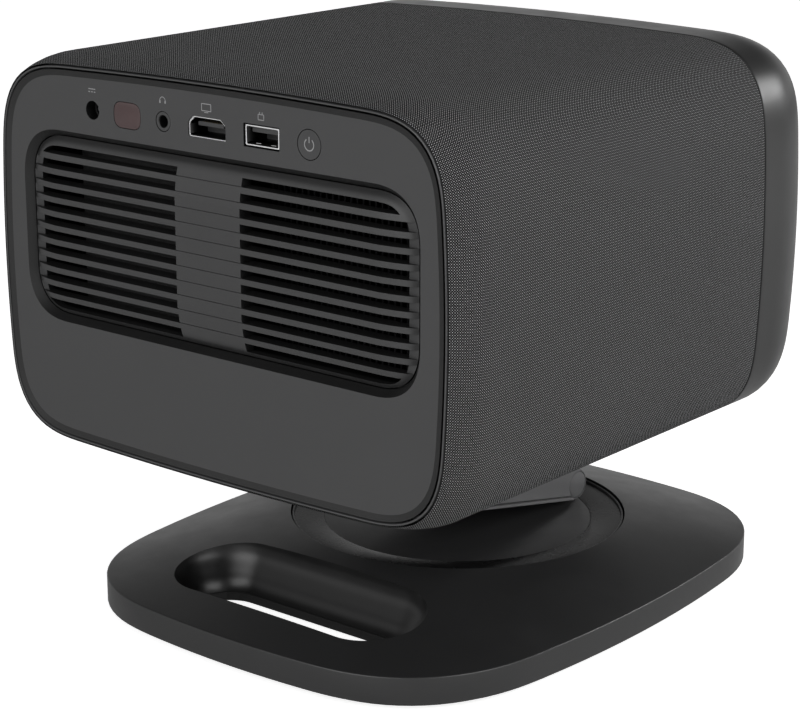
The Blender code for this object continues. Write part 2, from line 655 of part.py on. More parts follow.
def combine(mesh, others, operation):
    """Boolean of one mesh with several others, one after another."""
    target = temporary(mesh)
    helpers = [temporary(other) for other in others]
    for helper in helpers:
        helper.hide_render = True
        helper.display_type = "WIRE"
        step = target.modifiers.new("shape", "BOOLEAN")
        step.operation = operation
        step.solver = "EXACT"
        step.object = helper
    bpy.context.view_layer.update()
    evaluated = target.evaluated_get(bpy.context.evaluated_depsgraph_get())
    result = bmesh.new()
    result.from_mesh(evaluated.data)
    for item in [target] + helpers:
        data = item.data
        bpy.data.objects.remove(item, do_unlink=True)
        bpy.data.meshes.remove(data)
    return result


def cut(mesh, *others):
    return combine(mesh, others, "DIFFERENCE")


def join(mesh, *others):
    return combine(mesh, others, "UNION")


def keep_common(mesh, other):
    return combine(mesh, (other,), "INTERSECT")


def place(name, mesh, kind, origin=(0.0, 0.0, 0.0)):
    """Turn a mesh into a named piece whose object origin lies at the given point."""
    mesh.transform(Matrix.Translation(-Vector(origin)))
    bmesh.ops.recalc_face_normals(mesh, faces=mesh.faces[:])
    data = bpy.data.meshes.new(name)
    mesh.to_mesh(data)
    mesh.free()
    data.shade_smooth()
    data.set_sharp_from_angle(angle=SMOOTH_ANGLE)
    data.materials.append(material(name, kind))
    piece = bpy.data.objects.new(name, data)
    piece.location = origin
    bpy.context.scene.collection.objects.link(piece)
    return piece


# Base plate

def dome_height(share):
    return BASE_RIM_Z + (BASE_TOP_Z - BASE_RIM_Z) * (1.0 - (1.0 - share) ** DOME_POWER)


def towards_circle(points, radius, share):
    """Outline moved a share of the way to a circle round the turning axis."""
    moved = []
    for x, y in points:
        length = math.hypot(x, y)
        moved.append((x + (x * radius / length - x) * share, y + (y * radius / length - y) * share))
    return moved


def slot_ring(half_length, half_width):
    return [(x, y + SLOT_CENTRE_Y) for x, y in stadium(half_length, half_width, SLOT_STEPS)]


def slot_funnel():
    rings = [level_ring(slot_ring(SLOT_HALF_LENGTH - inset, SLOT_HALF_WIDTH - inset), height)
             for height, inset in zip(SLOT_ROLL_HEIGHTS, SLOT_ROLL_INSETS)]
    return strip(rings, False)


def slot_passage(margin, low, high):
    narrow = SLOT_ROLL_INSETS[-1] - margin
    return prism(slot_ring(SLOT_HALF_LENGTH - narrow, SLOT_HALF_WIDTH - narrow), low, high)


def boss_places():
    return [(side * BOSS_X, y) for side in (-1, 1) for y in (BOSS_BACK_Y, BOSS_FRONT_Y)]


def build_base_body():
    edge = base_outline(0.0)
    inner = base_outline(BASE_WALL)
    rim = base_outline(BASE_RIM_CHAMFER)
    brink = POCKET_RADIUS - BASE_RIM_CHAMFER
    floor_z = POCKET_FLOOR_Z - POCKET_FLOOR_THICKNESS
    rings = [level_ring(towards_circle(rim, POCKET_RADIUS, 1.0), floor_z), level_ring(inner, BASE_ROOF_Z),
             level_ring(inner, BASE_SKIRT_Z), level_ring(edge, BASE_SKIRT_Z),
             level_ring(edge, BASE_RIM_Z - BASE_RIM_CHAMFER), level_ring(rim, BASE_RIM_Z)]
    rings += [level_ring(towards_circle(rim, brink, share), dome_height(share)) for share in DOME_SHARES]
    rings.append(level_ring(towards_circle(rim, brink, 1.0), BASE_TOP_Z))
    wall = SLOT_WALL
    block = prism(slot_ring(SLOT_HALF_LENGTH + wall, SLOT_HALF_WIDTH + wall), BASE_SKIRT_Z, SLOT_BLOCK_TOP_Z)
    bosses = [cylinder(BOSS_RADIUS, BASE_SKIRT_Z, BOSS_TOP_Z, STEPS_SMALL, "Z", (x, y, 0.0)) for x,
              y in boss_places()]
    body = join(strip(rings, False), block, *bosses)
    cuts = [cylinder(SCREW_RADIUS + GAP, -OVERRUN, BOSS_TOP_Z - BASE_RIM_CHAMFER, STEPS_SMALL, "Z",
                     (x, y, 0.0))
            for x, y in boss_places()]
    cuts.append(cylinder(POCKET_RADIUS, POCKET_FLOOR_Z, BASE_TOP_Z + OVERRUN, STEPS_LARGE))
    cuts.append(cylinder(SPINDLE_RADIUS + GAP, -OVERRUN, BASE_TOP_Z, STEPS_MEDIUM))
    place("base_body", cut(body, slot_funnel(), *cuts), "satin_grey_plastic")


def build_base_cover():
    plate = prism(base_outline(COVER_INSET), COVER_BOTTOM_Z, COVER_BOTTOM_Z + COVER_THICKNESS)
    holes = [cylinder(SCREW_RADIUS + GAP, -OVERRUN, BASE_RIM_Z, STEPS_SMALL, "Z", (x, y, 0.0)) for x,
             y in boss_places()]
    place("base_cover", cut(plate, slot_passage(0.0, -OVERRUN, BASE_RIM_Z), *holes), "black_plastic")


def build_ballast():
    low = COVER_BOTTOM_Z + COVER_THICKNESS + GAP
    plate = prism(base_outline(BALLAST_INSET), low, low + BALLAST_THICKNESS)
    margin = SLOT_ROLL_INSETS[-1] + SLOT_WALL + GAP
    cuts = [slot_passage(margin, -OVERRUN, BASE_RIM_Z), cylinder(BALLAST_HOLE_RADIUS, -OVERRUN, BASE_RIM_Z,
                                                                 STEPS_MEDIUM)]
    cuts += [cylinder(BOSS_RADIUS + BALLAST_BOSS_CLEARANCE, -OVERRUN, BASE_RIM_Z, STEPS_SMALL, "Z",
                      (x, y, 0.0))
             for x, y in boss_places()]
    place("ballast_plate", cut(plate, *cuts), "dark_steel")


def build_foot_mat():
    mat = prism(base_outline(FOOT_INSET), 0.0, FOOT_HEIGHT)
    holes = [cylinder(COVER_SCREW_HEAD_RADIUS + GAP, -OVERRUN, OVERRUN, STEPS_SMALL, "Z", (x, y, 0.0)) for x,
             y in boss_places()]
    place("foot_mat", cut(mat, slot_passage(FOOT_SLOT_MARGIN, -OVERRUN, OVERRUN), *holes), "rubber")


def screw_profile(head_radius, head_thickness, length):
    """Screw with its head underneath, its top at height zero and a blind drive hole in the head."""
    bottom = -length - head_thickness
    return [(0.0, bottom + head_thickness * SCREW_SOCKET_SHARE),
            (SCREW_SOCKET_RADIUS, bottom + head_thickness * SCREW_SOCKET_SHARE),
            (SCREW_SOCKET_RADIUS, bottom), (head_radius, bottom), (head_radius, -length),
            (SCREW_RADIUS, -length), (SCREW_RADIUS, 0.0), (0.0, 0.0)]


def build_cover_screws():
    top = COVER_BOTTOM_Z - GAP + COVER_SCREW_LENGTH
    for index, (x, y) in enumerate(boss_places(), 1):
        profile = screw_profile(COVER_SCREW_HEAD_RADIUS, COVER_SCREW_HEAD_THICKNESS, COVER_SCREW_LENGTH)
        screw = turned(profile, STEPS_SMALL, "Z", (x, y, top))
        place("cover_screw_%d" % index, screw, "steel", (x, y, top))


# Turntable

def build_washer():
    low = POCKET_FLOOR_Z + GAP
    washer = tube(WASHER_INNER_RADIUS, WASHER_OUTER_RADIUS, low, low + WASHER_THICKNESS, STEPS_MEDIUM)
    place("thrust_washer", washer, "white_plastic")


def build_platter():
    low = PLATTER_BOTTOM_Z
    floor = PLATTER_TOP_Z
    hole = SPINDLE_RADIUS + GAP
    profile = [(hole, low), (PLATTER_RADIUS, low), (PLATTER_RADIUS, PLATTER_LIP_Z),
               (PLATTER_LIP_RADIUS, PLATTER_LIP_Z),
               (PLATTER_LIP_RADIUS, floor), (hole, floor)]
    place("turntable_platter", turned(profile, STEPS_LARGE), "satin_grey_plastic")


def build_bevel_ring():
    low = PLATTER_TOP_Z + GAP
    outer = PLATTER_LIP_RADIUS - GAP
    profile = [(BEVEL_RING_INNER_RADIUS, low), (outer, low), (outer, BEVEL_RING_OUTER_Z),
               (BEVEL_RING_INNER_RADIUS, BEVEL_RING_INNER_Z)]
    place("turntable_bevel_ring", turned(profile, STEPS_LARGE), "dark_trim_plastic")


def build_centre_disc():
    low = PLATTER_TOP_Z + GAP
    edge = low + DISC_THICKNESS
    well = SPINDLE_FLANGE_RADIUS + GAP
    roof = DISC_TOP_Z - DISC_THICKNESS
    profile = [(0.0, DISC_TOP_Z), (DISC_RADIUS, DISC_TOP_Z), (DISC_RADIUS, low), (well, low), (well, roof),
               (0.0, roof)]
    window = box((-LUG_HALF_WIDTH - GAP, TILT_Y - LUG_FOOT_LENGTH - GAP, low - OVERRUN),
                 (LUG_HALF_WIDTH + GAP, TILT_Y + LUG_RADIUS + GAP, edge + OVERRUN))
    place("turntable_disc", cut(turned(profile, STEPS_LARGE), window), "satin_grey_plastic")


def build_spindle():
    seat = PLATTER_TOP_Z + GAP
    profile = [(SPINDLE_BORE_RADIUS, SPINDLE_BOTTOM_Z), (SPINDLE_RADIUS, SPINDLE_BOTTOM_Z),
               (SPINDLE_RADIUS, seat),
               (SPINDLE_FLANGE_RADIUS, seat), (SPINDLE_FLANGE_RADIUS, seat + SPINDLE_FLANGE_THICKNESS),
               (SPINDLE_BORE_RADIUS, seat + SPINDLE_FLANGE_THICKNESS)]
    place("spindle", turned(profile, STEPS_MEDIUM), "steel")
    high = POCKET_FLOOR_Z - POCKET_FLOOR_THICKNESS - GAP
    nut = tube(SPINDLE_RADIUS + GAP, NUT_RADIUS, high - NUT_THICKNESS, high, STEPS_MEDIUM)
    place("spindle_nut", nut, "dark_steel")


# Tilting arm and hinge

def tilt_point():
    return (0.0, TILT_Y, TILT_Z)


def side_prism(points, half_width):
    """Outline in (y, z) run out sideways to both sides of the middle."""
    return strip([[Vector((-half_width, y, z)) for y, z in points],
                  [Vector((half_width, y, z)) for y, z in points]], False)


def under_point(along, lift):
    """Point on the rising line under the arm, measured back from the barrel and lifted off the line."""
    sine = math.sin(ARM_UNDER_ANGLE)
    cosine = math.cos(ARM_UNDER_ANGLE)
    return (TILT_Y - ARM_BARREL_RADIUS * sine - along * cosine + lift * sine,
            TILT_Z - ARM_BARREL_RADIUS * cosine + along * sine + lift * cosine)


def back_point(lift):
    along = (TILT_Y - ARM_BARREL_RADIUS * math.sin(ARM_UNDER_ANGLE) - ARM_BACK_Y) / math.cos(ARM_UNDER_ANGLE)
    return under_point(along, lift)


def arm_outline():
    lift = FLANGE_THICKNESS + GAP
    points = [back_point(lift), under_point(FLANGE_START, lift), under_point(FLANGE_START, 0.0)]
    start = -0.5 * math.pi - ARM_UNDER_ANGLE
    sweep = math.pi - ARM_FRONT_ANGLE + ARM_UNDER_ANGLE
    for step in range(ARM_BARREL_STEPS + 1):
        turn = start + sweep * step / ARM_BARREL_STEPS
        points.append((TILT_Y + ARM_BARREL_RADIUS * math.cos(turn),
                       TILT_Z + ARM_BARREL_RADIUS * math.sin(turn)))
    last_y, last_z = points[-1]
    rise = ARM_TOP_Z - last_z
    points.append((last_y - rise / math.tan(ARM_FRONT_ANGLE), ARM_TOP_Z))
    points.append((back_point(lift)[0], ARM_TOP_Z))
    return points


def mount_screw_places():
    return [(side * MOUNT_SCREW_X, MOUNT_SCREW_Y) for side in (-1, 1)]


def mount_screw_tip():
    return ARM_TOP_Z - MOUNT_SCREW_GRIP


def mount_screw_holes(low, high):
    return [cylinder(SCREW_RADIUS + GAP, low, high, STEPS_SMALL, "Z", (x, y, 0.0)) for x,
            y in mount_screw_places()]


def build_arm():
    arm = side_prism(arm_outline(), ARM_HALF_WIDTH)
    notch = cylinder(NOTCH_RADIUS, -NOTCH_HALF_WIDTH, NOTCH_HALF_WIDTH, STEPS_MEDIUM, "X", tilt_point())
    bore = cylinder(PIN_RADIUS + GAP, -ARM_HALF_WIDTH - OVERRUN, ARM_HALF_WIDTH + OVERRUN, STEPS_SMALL, "X",
                    tilt_point())
    pockets = []
    for side in (-1, 1):
        inner = side * (ARM_HALF_WIDTH - CAP_THICKNESS - GAP)
        outer = side * (ARM_HALF_WIDTH + OVERRUN)
        pockets.append(cylinder(CAP_RADIUS + GAP, min(inner, outer), max(inner, outer), STEPS_MEDIUM, "X",
                                tilt_point()))
    holes = mount_screw_holes(mount_screw_tip() - GAP, BODY_CENTRE_Z)
    place("tilt_arm", cut(arm, notch, bore, *pockets, *holes), "satin_grey_plastic", tilt_point())


def build_arm_flange():
    points = [under_point(FLANGE_START + GAP, 0.0), under_point(FLANGE_START + GAP, FLANGE_THICKNESS),
              back_point(FLANGE_THICKNESS), back_point(0.0)]
    flange = side_prism(points, FLANGE_HALF_WIDTH)
    notch = cylinder(NOTCH_RADIUS, -NOTCH_HALF_WIDTH, NOTCH_HALF_WIDTH, STEPS_MEDIUM, "X", tilt_point())
    place("arm_flange", cut(flange, notch), "satin_grey_plastic", tilt_point())


def build_hinge():
    low = PLATTER_TOP_Z + GAP
    y_back = TILT_Y - LUG_FOOT_LENGTH
    points = [(y_back, low), (TILT_Y + LUG_RADIUS, low)]
    for step in range(ARM_BARREL_STEPS + 1):
        turn = math.pi * step / ARM_BARREL_STEPS
        points.append((TILT_Y + LUG_RADIUS * math.cos(turn), TILT_Z + LUG_RADIUS * math.sin(turn)))
    points.append((TILT_Y - LUG_RADIUS, DISC_TOP_Z))
    points.append((y_back, DISC_TOP_Z - GAP))
    bore = cylinder(PIN_RADIUS + GAP, -ARM_HALF_WIDTH, ARM_HALF_WIDTH, STEPS_SMALL, "X", tilt_point())
    place("hinge_lug", cut(side_prism(points, LUG_HALF_WIDTH), bore), "dark_steel")
    place("hinge_pin", cylinder(PIN_RADIUS, -PIN_HALF_LENGTH, PIN_HALF_LENGTH, STEPS_SMALL, "X",
                                tilt_point()), "steel")
    for side, name in ((-1, "left"), (1, "right")):
        inner = side * (ARM_HALF_WIDTH - CAP_THICKNESS)
        outer = side * ARM_HALF_WIDTH
        cap = cylinder(CAP_RADIUS, min(inner, outer), max(inner, outer), STEPS_MEDIUM, "X", tilt_point())
        place("hinge_cap_" + name, cap, "satin_grey_plastic", tilt_point())


def build_mount_plate():
    low = BODY_CENTRE_Z - BODY_HALF_HEIGHT + SLEEVE_THICKNESS + SHELL_THICKNESS + 3 * GAP
    plate = box((-MOUNT_PLATE_HALF_WIDTH, MOUNT_PLATE_BACK_Y, low),
                (MOUNT_PLATE_HALF_WIDTH, MOUNT_PLATE_FRONT_Y, low + MOUNT_PLATE_THICKNESS))
    place("mount_plate", cut(plate, *mount_screw_holes(low - OVERRUN, low + MOUNT_PLATE_THICKNESS + OVERRUN)),
          "steel")
    seat = low + MOUNT_PLATE_THICKNESS + GAP
    length = seat - mount_screw_tip()
    flip = Matrix.Rotation(math.pi, 4, "X")
    for index, (x, y) in enumerate(mount_screw_places(), 1):
        screw = turned(screw_profile(MOUNT_SCREW_HEAD_RADIUS, MOUNT_SCREW_HEAD_THICKNESS, length),
                       STEPS_SMALL)
        screw.transform(Matrix.Translation((x, y, mount_screw_tip())) @ flip)
        place("mount_screw_%d" % index, screw, "steel", (x, y, mount_screw_tip()))


# Skin of the body

def rounded_ring(radius, angle):
    """Ring of the sleeve's rounded back edge; the radius tells its outer face from its inner one."""
    return upright_ring(body_outline(SLEEVE_ROUNDING - radius * math.cos(angle)),
                        SLEEVE_ROUND_DEPTH - radius * math.sin(angle))


def build_sleeve():
    inner = SLEEVE_ROUNDING - SLEEVE_THICKNESS
    turns = [SLEEVE_END_ANGLE * share for share in (1.0, 0.5, 0.0)]
    rings = [rounded_ring(SLEEVE_ROUNDING, turn) for turn in turns]
    rings.append(upright_ring(body_outline(0.0), SLEEVE_FRONT_DEPTH))
    rings.append(upright_ring(body_outline(SLEEVE_THICKNESS), SLEEVE_FRONT_DEPTH))
    rings += [rounded_ring(inner, turn) for turn in reversed(turns)]
    sleeve = strip(rings, True)
    place("fabric_sleeve", cut(sleeve, *mount_screw_holes(0.0, BODY_CENTRE_Z)), "woven_fabric")


def sound_hole():
    depth = 0.5 * (SPEAKER_BACK_DEPTH + SPEAKER_FRONT_DEPTH)
    centre = (0.0, BACK_Y + depth, BODY_CENTRE_Z + speaker_up())
    return cylinder(SOUND_HOLE_RADIUS, -BODY_HALF_WIDTH, BODY_HALF_WIDTH, STEPS_MEDIUM, "X", centre)


def build_shell():
    outer = body_outline(SLEEVE_THICKNESS + GAP)
    inner = body_outline(SLEEVE_THICKNESS + GAP + SHELL_THICKNESS)
    rings = [upright_ring(outer, SHELL_BACK_DEPTH), upright_ring(outer, SLEEVE_FRONT_DEPTH),
             upright_ring(inner, SLEEVE_FRONT_DEPTH), upright_ring(inner, SHELL_BACK_DEPTH)]
    place("inner_shell", cut(strip(rings, True), sound_hole(), *mount_screw_holes(0.0, BODY_CENTRE_Z)),
          "black_plastic")


def build_back_lip():
    outer = body_outline(LIP_OUTER_INSET)
    inner = body_outline(LIP_INNER_INSET)
    flange = body_outline(LIP_FLANGE_INSET)
    rings = [upright_ring(outer, LIP_FLANGE_DEPTH), upright_ring(outer, -LIP_RAISE),
             upright_ring(inner, -LIP_RAISE),
             upright_ring(inner, LIP_DEPTH), upright_ring(flange, LIP_DEPTH), upright_ring(flange,
                                                                                           LIP_FLANGE_DEPTH)]
    place("back_lip", strip(rings, True), "satin_grey_plastic")


def video_outline(inset):
    half_x = VIDEO_HALF_WIDTH - inset
    half_z = VIDEO_HALF_HEIGHT - inset
    return [(-half_x, -half_z), (half_x, -half_z), (half_x, half_z - VIDEO_CHAMFER_HEIGHT),
            (half_x - VIDEO_CHAMFER_WIDTH, half_z), (-half_x + VIDEO_CHAMFER_WIDTH, half_z),
            (-half_x, half_z - VIDEO_CHAMFER_HEIGHT)]


def data_outline(inset):
    half_x = DATA_HALF_WIDTH - inset
    half_z = DATA_HALF_HEIGHT - inset
    return rectangle(-half_x, half_x, -half_z, half_z)


def window_outline(margin):
    return squircle(WINDOW_HALF_WIDTH + margin, WINDOW_HALF_HEIGHT + margin, WINDOW_CORNER, VENT_EXPONENT)


def build_back_panel():
    edge = body_outline(PANEL_INSET)
    flat = body_outline(PANEL_FLAT_INSET)
    plate = strip([upright_ring(edge, PANEL_THICKNESS), upright_ring(edge, PANEL_BORDER_DROP),
                   upright_ring(flat, 0.0)], False)
    up = VENT_CENTRE_UP
    tunnel = upright_prism(vent_outline(-VENT_WALL), PANEL_BORDER_DROP, VENT_DEPTH, up)
    far = PANEL_THICKNESS + OVERRUN
    mouth = vent_outline(0.0)
    wall = vent_outline(VENT_FUNNEL_WIDTH)
    hole = vent_outline(VENT_FUNNEL_WIDTH + VENT_LEDGE_WIDTH)
    recess = [upright_ring(mouth, -OVERRUN, up), upright_ring(mouth, 0.0, up),
              upright_ring(wall, VENT_FUNNEL_DEPTH, up), upright_ring(wall, VENT_LEDGE_DEPTH, up)]
    cuts = [strip(recess, False),
            upright_prism(hole, -OVERRUN, VENT_DEPTH + OVERRUN, up),
            upright_prism(window_outline(GAP), -OVERRUN, far, PORT_UP, WINDOW_X),
            upright_prism(video_outline(-SOCKET_HOLE_MARGIN), -OVERRUN, far, PORT_UP, VIDEO_X),
            upright_prism(data_outline(-SOCKET_HOLE_MARGIN), -OVERRUN, far, PORT_UP, DATA_X),
            cylinder(DC_HOLE_RADIUS, -OVERRUN, far, STEPS_MEDIUM, "Y", port_point(DC_X)),
            cylinder(JACK_RING_RADIUS + GAP, -OVERRUN, far, STEPS_MEDIUM, "Y", port_point(JACK_X)),
            cylinder(BUTTON_RADIUS + GAP, -OVERRUN, far, STEPS_MEDIUM, "Y", port_point(BUTTON_X))]
    place("back_panel", cut(join(plate, tunnel), *cuts), "panel_grey_plastic")


# Vent insert

def opening_rows():
    """Lowest and highest place of each row of openings, from the top row down."""
    slats = [FIRST_SLAT_TOP - index * SLAT_PITCH for index in range(SLAT_COUNT)]
    highs = [OPENING_TOP] + [slat - SLAT_HEIGHT for slat in slats]
    return list(zip(slats + [OPENING_BOTTOM], highs))


def opening_reach(z):
    """Half width of the openings' common outline at a height."""
    half = 0.5 * (OPENING_TOP - OPENING_BOTTOM)
    above = abs(z - 0.5 * (OPENING_TOP + OPENING_BOTTOM)) - half + OPENING_CORNER
    share = min(max(above / OPENING_CORNER, 0.0), 1.0)
    along = (1.0 - share ** VENT_EXPONENT) ** (1.0 / VENT_EXPONENT)
    return OPENING_HALF_WIDTH - OPENING_CORNER * (1.0 - along)


def opening_polygon(side, low, high):
    points = [(COLUMN_HALF_WIDTH, high), (COLUMN_HALF_WIDTH, low)]
    for step in range(OPENING_END_STEPS + 1):
        z = low + (high - low) * step / OPENING_END_STEPS
        points.append((opening_reach(z), z))
    return [(side * x, z) for x, z in points]


def build_vent_insert():
    """Pillow of slats between a middle column and a lower frame at either end."""
    up = VENT_CENTRE_UP
    rings = [upright_ring(vent_outline(INSERT_INSET), INSERT_BACK_DEPTH, up)]
    for width, height in zip(INSERT_ROLL_WIDTH_SHARES, INSERT_ROLL_HEIGHT_SHARES):
        rings.append(upright_ring(vent_outline(INSERT_INSET + INSERT_ROLL_WIDTH * width),
                                  INSERT_FRAME_DEPTH - INSERT_ROLL_HEIGHT * height, up))
    rows = opening_rows()
    fronts = []
    holes = []
    for side in (-1, 1):
        for low, high in rows:
            holes.append(upright_prism(opening_polygon(side, low, high), -OVERRUN, VENT_DEPTH, up))
        for low, high in rows[1:-1]:
            end = rectangle(side * COLUMN_HALF_WIDTH, side * (VENT_HALF_WIDTH + OVERRUN), low, high)
            fronts.append(upright_prism(end, -OVERRUN, INSERT_FRAME_DEPTH, up))
    place("vent_insert", cut(strip(rings, False), merged(fronts), merged(holes)), "panel_grey_plastic")


# Sockets, window and button

def build_ports():
    board_top = board_up() + BOARD_THICKNESS + GAP
    seat = PANEL_THICKNESS + GAP
    profile = [(0.0, DC_PIN_START_DEPTH), (DC_PIN_RADIUS, DC_PIN_START_DEPTH),
               (DC_PIN_RADIUS, PLUG_BODY_DEPTH - SOCKET_FLOOR),
               (DC_BORE_RADIUS, PLUG_BODY_DEPTH - SOCKET_FLOOR), (DC_BORE_RADIUS, seat), (PLUG_BODY_RADIUS,
                                                                                          seat),
               (PLUG_BODY_RADIUS, PLUG_BODY_DEPTH), (0.0, PLUG_BODY_DEPTH)]
    place("dc_inlet", turned(profile, STEPS_MEDIUM, "Y", port_point(DC_X)), "black_plastic")
    profile = [(0.0, PLUG_BODY_DEPTH - SOCKET_FLOOR), (JACK_BORE_RADIUS, PLUG_BODY_DEPTH - SOCKET_FLOOR),
               (JACK_BORE_RADIUS, 0.0), (JACK_RING_RADIUS, 0.0), (JACK_RING_RADIUS, seat), (PLUG_BODY_RADIUS,
                                                                                            seat),
               (PLUG_BODY_RADIUS, PLUG_BODY_DEPTH), (0.0, PLUG_BODY_DEPTH)]
    place("audio_jack", turned(profile, STEPS_MEDIUM, "Y", port_point(JACK_X)), "black_plastic")
    place("video_socket", socket(video_outline, VIDEO_X, VIDEO_DEPTH, VIDEO_HALF_WIDTH, VIDEO_HALF_HEIGHT,
                                 board_top), "steel")
    place("data_socket", socket(data_outline, DATA_X, DATA_DEPTH, DATA_HALF_WIDTH, DATA_HALF_HEIGHT,
                                board_top), "steel")
    build_tongue("video_tongue", VIDEO_X, VIDEO_TONGUE_HALF_WIDTH, VIDEO_TONGUE_THICKNESS, VIDEO_TONGUE_UP,
                 VIDEO_DEPTH)
    build_tongue("data_tongue", DATA_X, DATA_TONGUE_HALF_WIDTH, DATA_TONGUE_THICKNESS, DATA_TONGUE_UP,
                 DATA_DEPTH)


def socket(outline, x, depth, half_width, half_height, board_top):
    """Metal socket shell, closed at the back and standing on the port board."""
    shell = upright_prism(outline(0.0), SOCKET_FRONT_DEPTH, depth, PORT_UP, x)
    foot = unit_box(x - half_width + SOCKET_WALL, x + half_width - SOCKET_WALL, SOCKET_FOOT_START_DEPTH,
                    depth - SOCKET_WALL,
                    board_top, PORT_UP - half_height + SOCKET_WALL)
    hollow = upright_prism(outline(SOCKET_WALL), -OVERRUN, depth - SOCKET_FLOOR, PORT_UP, x)
    return cut(join(shell, foot), hollow)


def build_tongue(name, x, half_width, thickness, up, depth):
    tongue = unit_box(x - half_width, x + half_width, TONGUE_START_DEPTH, depth - SOCKET_FLOOR - GAP,
                      PORT_UP + up, PORT_UP + up + thickness)
    place(name, tongue, "black_plastic")


def build_window():
    seat = PANEL_THICKNESS + GAP
    small = window_outline(0.0)
    large = window_outline(WINDOW_FLANGE)
    rings = [upright_ring(small, 0.0, PORT_UP, WINDOW_X), upright_ring(small, seat, PORT_UP, WINDOW_X),
             upright_ring(large, seat, PORT_UP, WINDOW_X),
             upright_ring(large, seat + WINDOW_FLANGE_THICKNESS, PORT_UP, WINDOW_X)]
    place("receiver_window", strip(rings, False), "receiver_plastic")


def button_stem_end():
    return PANEL_THICKNESS + GAP + BUTTON_FLANGE_THICKNESS + BUTTON_STEM_LENGTH


def build_button():
    seat = PANEL_THICKNESS + GAP
    back = seat + BUTTON_FLANGE_THICKNESS
    profile = [(0.0, 0.0), (BUTTON_RADIUS, 0.0), (BUTTON_RADIUS, seat), (BUTTON_FLANGE_RADIUS, seat),
               (BUTTON_FLANGE_RADIUS, back), (BUTTON_STEM_RADIUS, back), (BUTTON_STEM_RADIUS,
                                                                          button_stem_end()),
               (0.0, button_stem_end())]
    place("power_button", turned(profile, STEPS_MEDIUM, "Y", port_point(BUTTON_X)), "panel_grey_plastic",
          port_point(BUTTON_X))
    start = button_stem_end() + BUTTON_TRAVEL + GAP
    low = board_up() + BOARD_THICKNESS + GAP
    switch = unit_box(BUTTON_X - SWITCH_HALF_WIDTH, BUTTON_X + SWITCH_HALF_WIDTH, start, start + SWITCH_DEPTH,
                      low,
                      PORT_UP + SWITCH_HALF_WIDTH)
    place("power_switch", switch, "black_plastic")


def board_up():
    """Height of the port board's underside, resting on the tunnel of the vent recess."""
    return VENT_CENTRE_UP + VENT_HALF_HEIGHT + VENT_WALL + GAP


def build_port_board():
    board = unit_box(PORT_BOARD_LEFT, PORT_BOARD_RIGHT, PORT_BOARD_BACK_DEPTH, PORT_BOARD_FRONT_DEPTH,
                     board_up(),
                     board_up() + BOARD_THICKNESS)
    place("port_board", board, "board_green")


# Units inside the body

def deck_top():
    return DECK_UP + DECK_THICKNESS + GAP


def build_deck():
    deck = unit_box(-DECK_HALF_WIDTH, DECK_HALF_WIDTH, DECK_BACK_DEPTH, DECK_FRONT_DEPTH, DECK_UP,
                    DECK_UP + DECK_THICKNESS)
    place("deck", deck, "aluminium")


def build_heat_sink():
    pitch = (SINK_RIGHT - SINK_LEFT) / SINK_FINS
    fin = pitch * SINK_FIN_SHARE
    front = SINK_BACK_DEPTH + SINK_FIN_DEPTH
    points = [(SINK_RIGHT, front + SINK_BASE_THICKNESS), (SINK_LEFT, front + SINK_BASE_THICKNESS)]
    for index in range(SINK_FINS):
        left = SINK_LEFT + index * (SINK_RIGHT - SINK_LEFT - fin) / (SINK_FINS - 1)
        if index:
            points.append((left, front))
        points += [(left, SINK_BACK_DEPTH), (left + fin, SINK_BACK_DEPTH)]
        if index < SINK_FINS - 1:
            points.append((left + fin, front))
    outline = [(x, BACK_Y + depth) for x, depth in points]
    sink = prism(outline, BODY_CENTRE_Z + deck_top(), BODY_CENTRE_Z + board_up() - GAP)
    place("heat_sink", sink, "aluminium")


def blower_outline(inset):
    """Plan of the blower housing with one round corner pair away from the heat sink."""
    left = BLOWER_LEFT + inset
    right = BLOWER_RIGHT - inset
    back = BACK_Y + BLOWER_BACK_DEPTH + inset
    front = BACK_Y + BLOWER_FRONT_DEPTH - inset
    corner = BLOWER_CORNER - inset
    points = [(right, back), (right, front)]
    for step in range(CORNER_STEPS + 1):
        turn = 0.5 * math.pi * (1 + step / CORNER_STEPS)
        points.append((left + corner + corner * math.cos(turn), front - corner + corner * math.sin(turn)))
    points.append((left, back))
    return points


def blower_axis():
    x = 0.5 * (BLOWER_LEFT + BLOWER_RIGHT)
    y = BACK_Y + 0.5 * (BLOWER_BACK_DEPTH + BLOWER_FRONT_DEPTH)
    return x, y


def build_blower():
    low = BODY_CENTRE_Z + deck_top()
    high = BODY_CENTRE_Z + BLOWER_TOP_UP
    x, y = blower_axis()
    housing = prism(blower_outline(0.0), low, high)
    hollow = prism(blower_outline(BLOWER_WALL), low + BLOWER_WALL, high - BLOWER_WALL)
    inlet = cylinder(BLOWER_INLET_RADIUS, high - BLOWER_WALL - OVERRUN, high + OVERRUN, STEPS_MEDIUM, "Z",
                     (x, y, 0.0))
    outlet = box((BLOWER_RIGHT - BLOWER_WALL - OVERRUN, y, low + BLOWER_WALL + OVERRUN),
                 (BLOWER_RIGHT + OVERRUN, BACK_Y + BLOWER_FRONT_DEPTH - BLOWER_WALL,
                  high - BLOWER_WALL - OVERRUN))
    floor = low + 0.5 * BLOWER_WALL
    seat = low + BLOWER_WALL + POST_HEIGHT
    top = high - BLOWER_WALL - WHEEL_CLEARANCE
    profile = [(0.0, floor), (POST_RADIUS, floor), (POST_RADIUS, seat), (AXLE_RADIUS, seat),
               (AXLE_RADIUS, top), (0.0, top)]
    post = turned(profile, STEPS_SMALL, "Z", (x, y, 0.0))
    place("blower_housing", join(cut(housing, join(hollow, inlet, outlet)), post), "black_plastic")
    build_blower_wheel(x, y, seat + GAP, top)


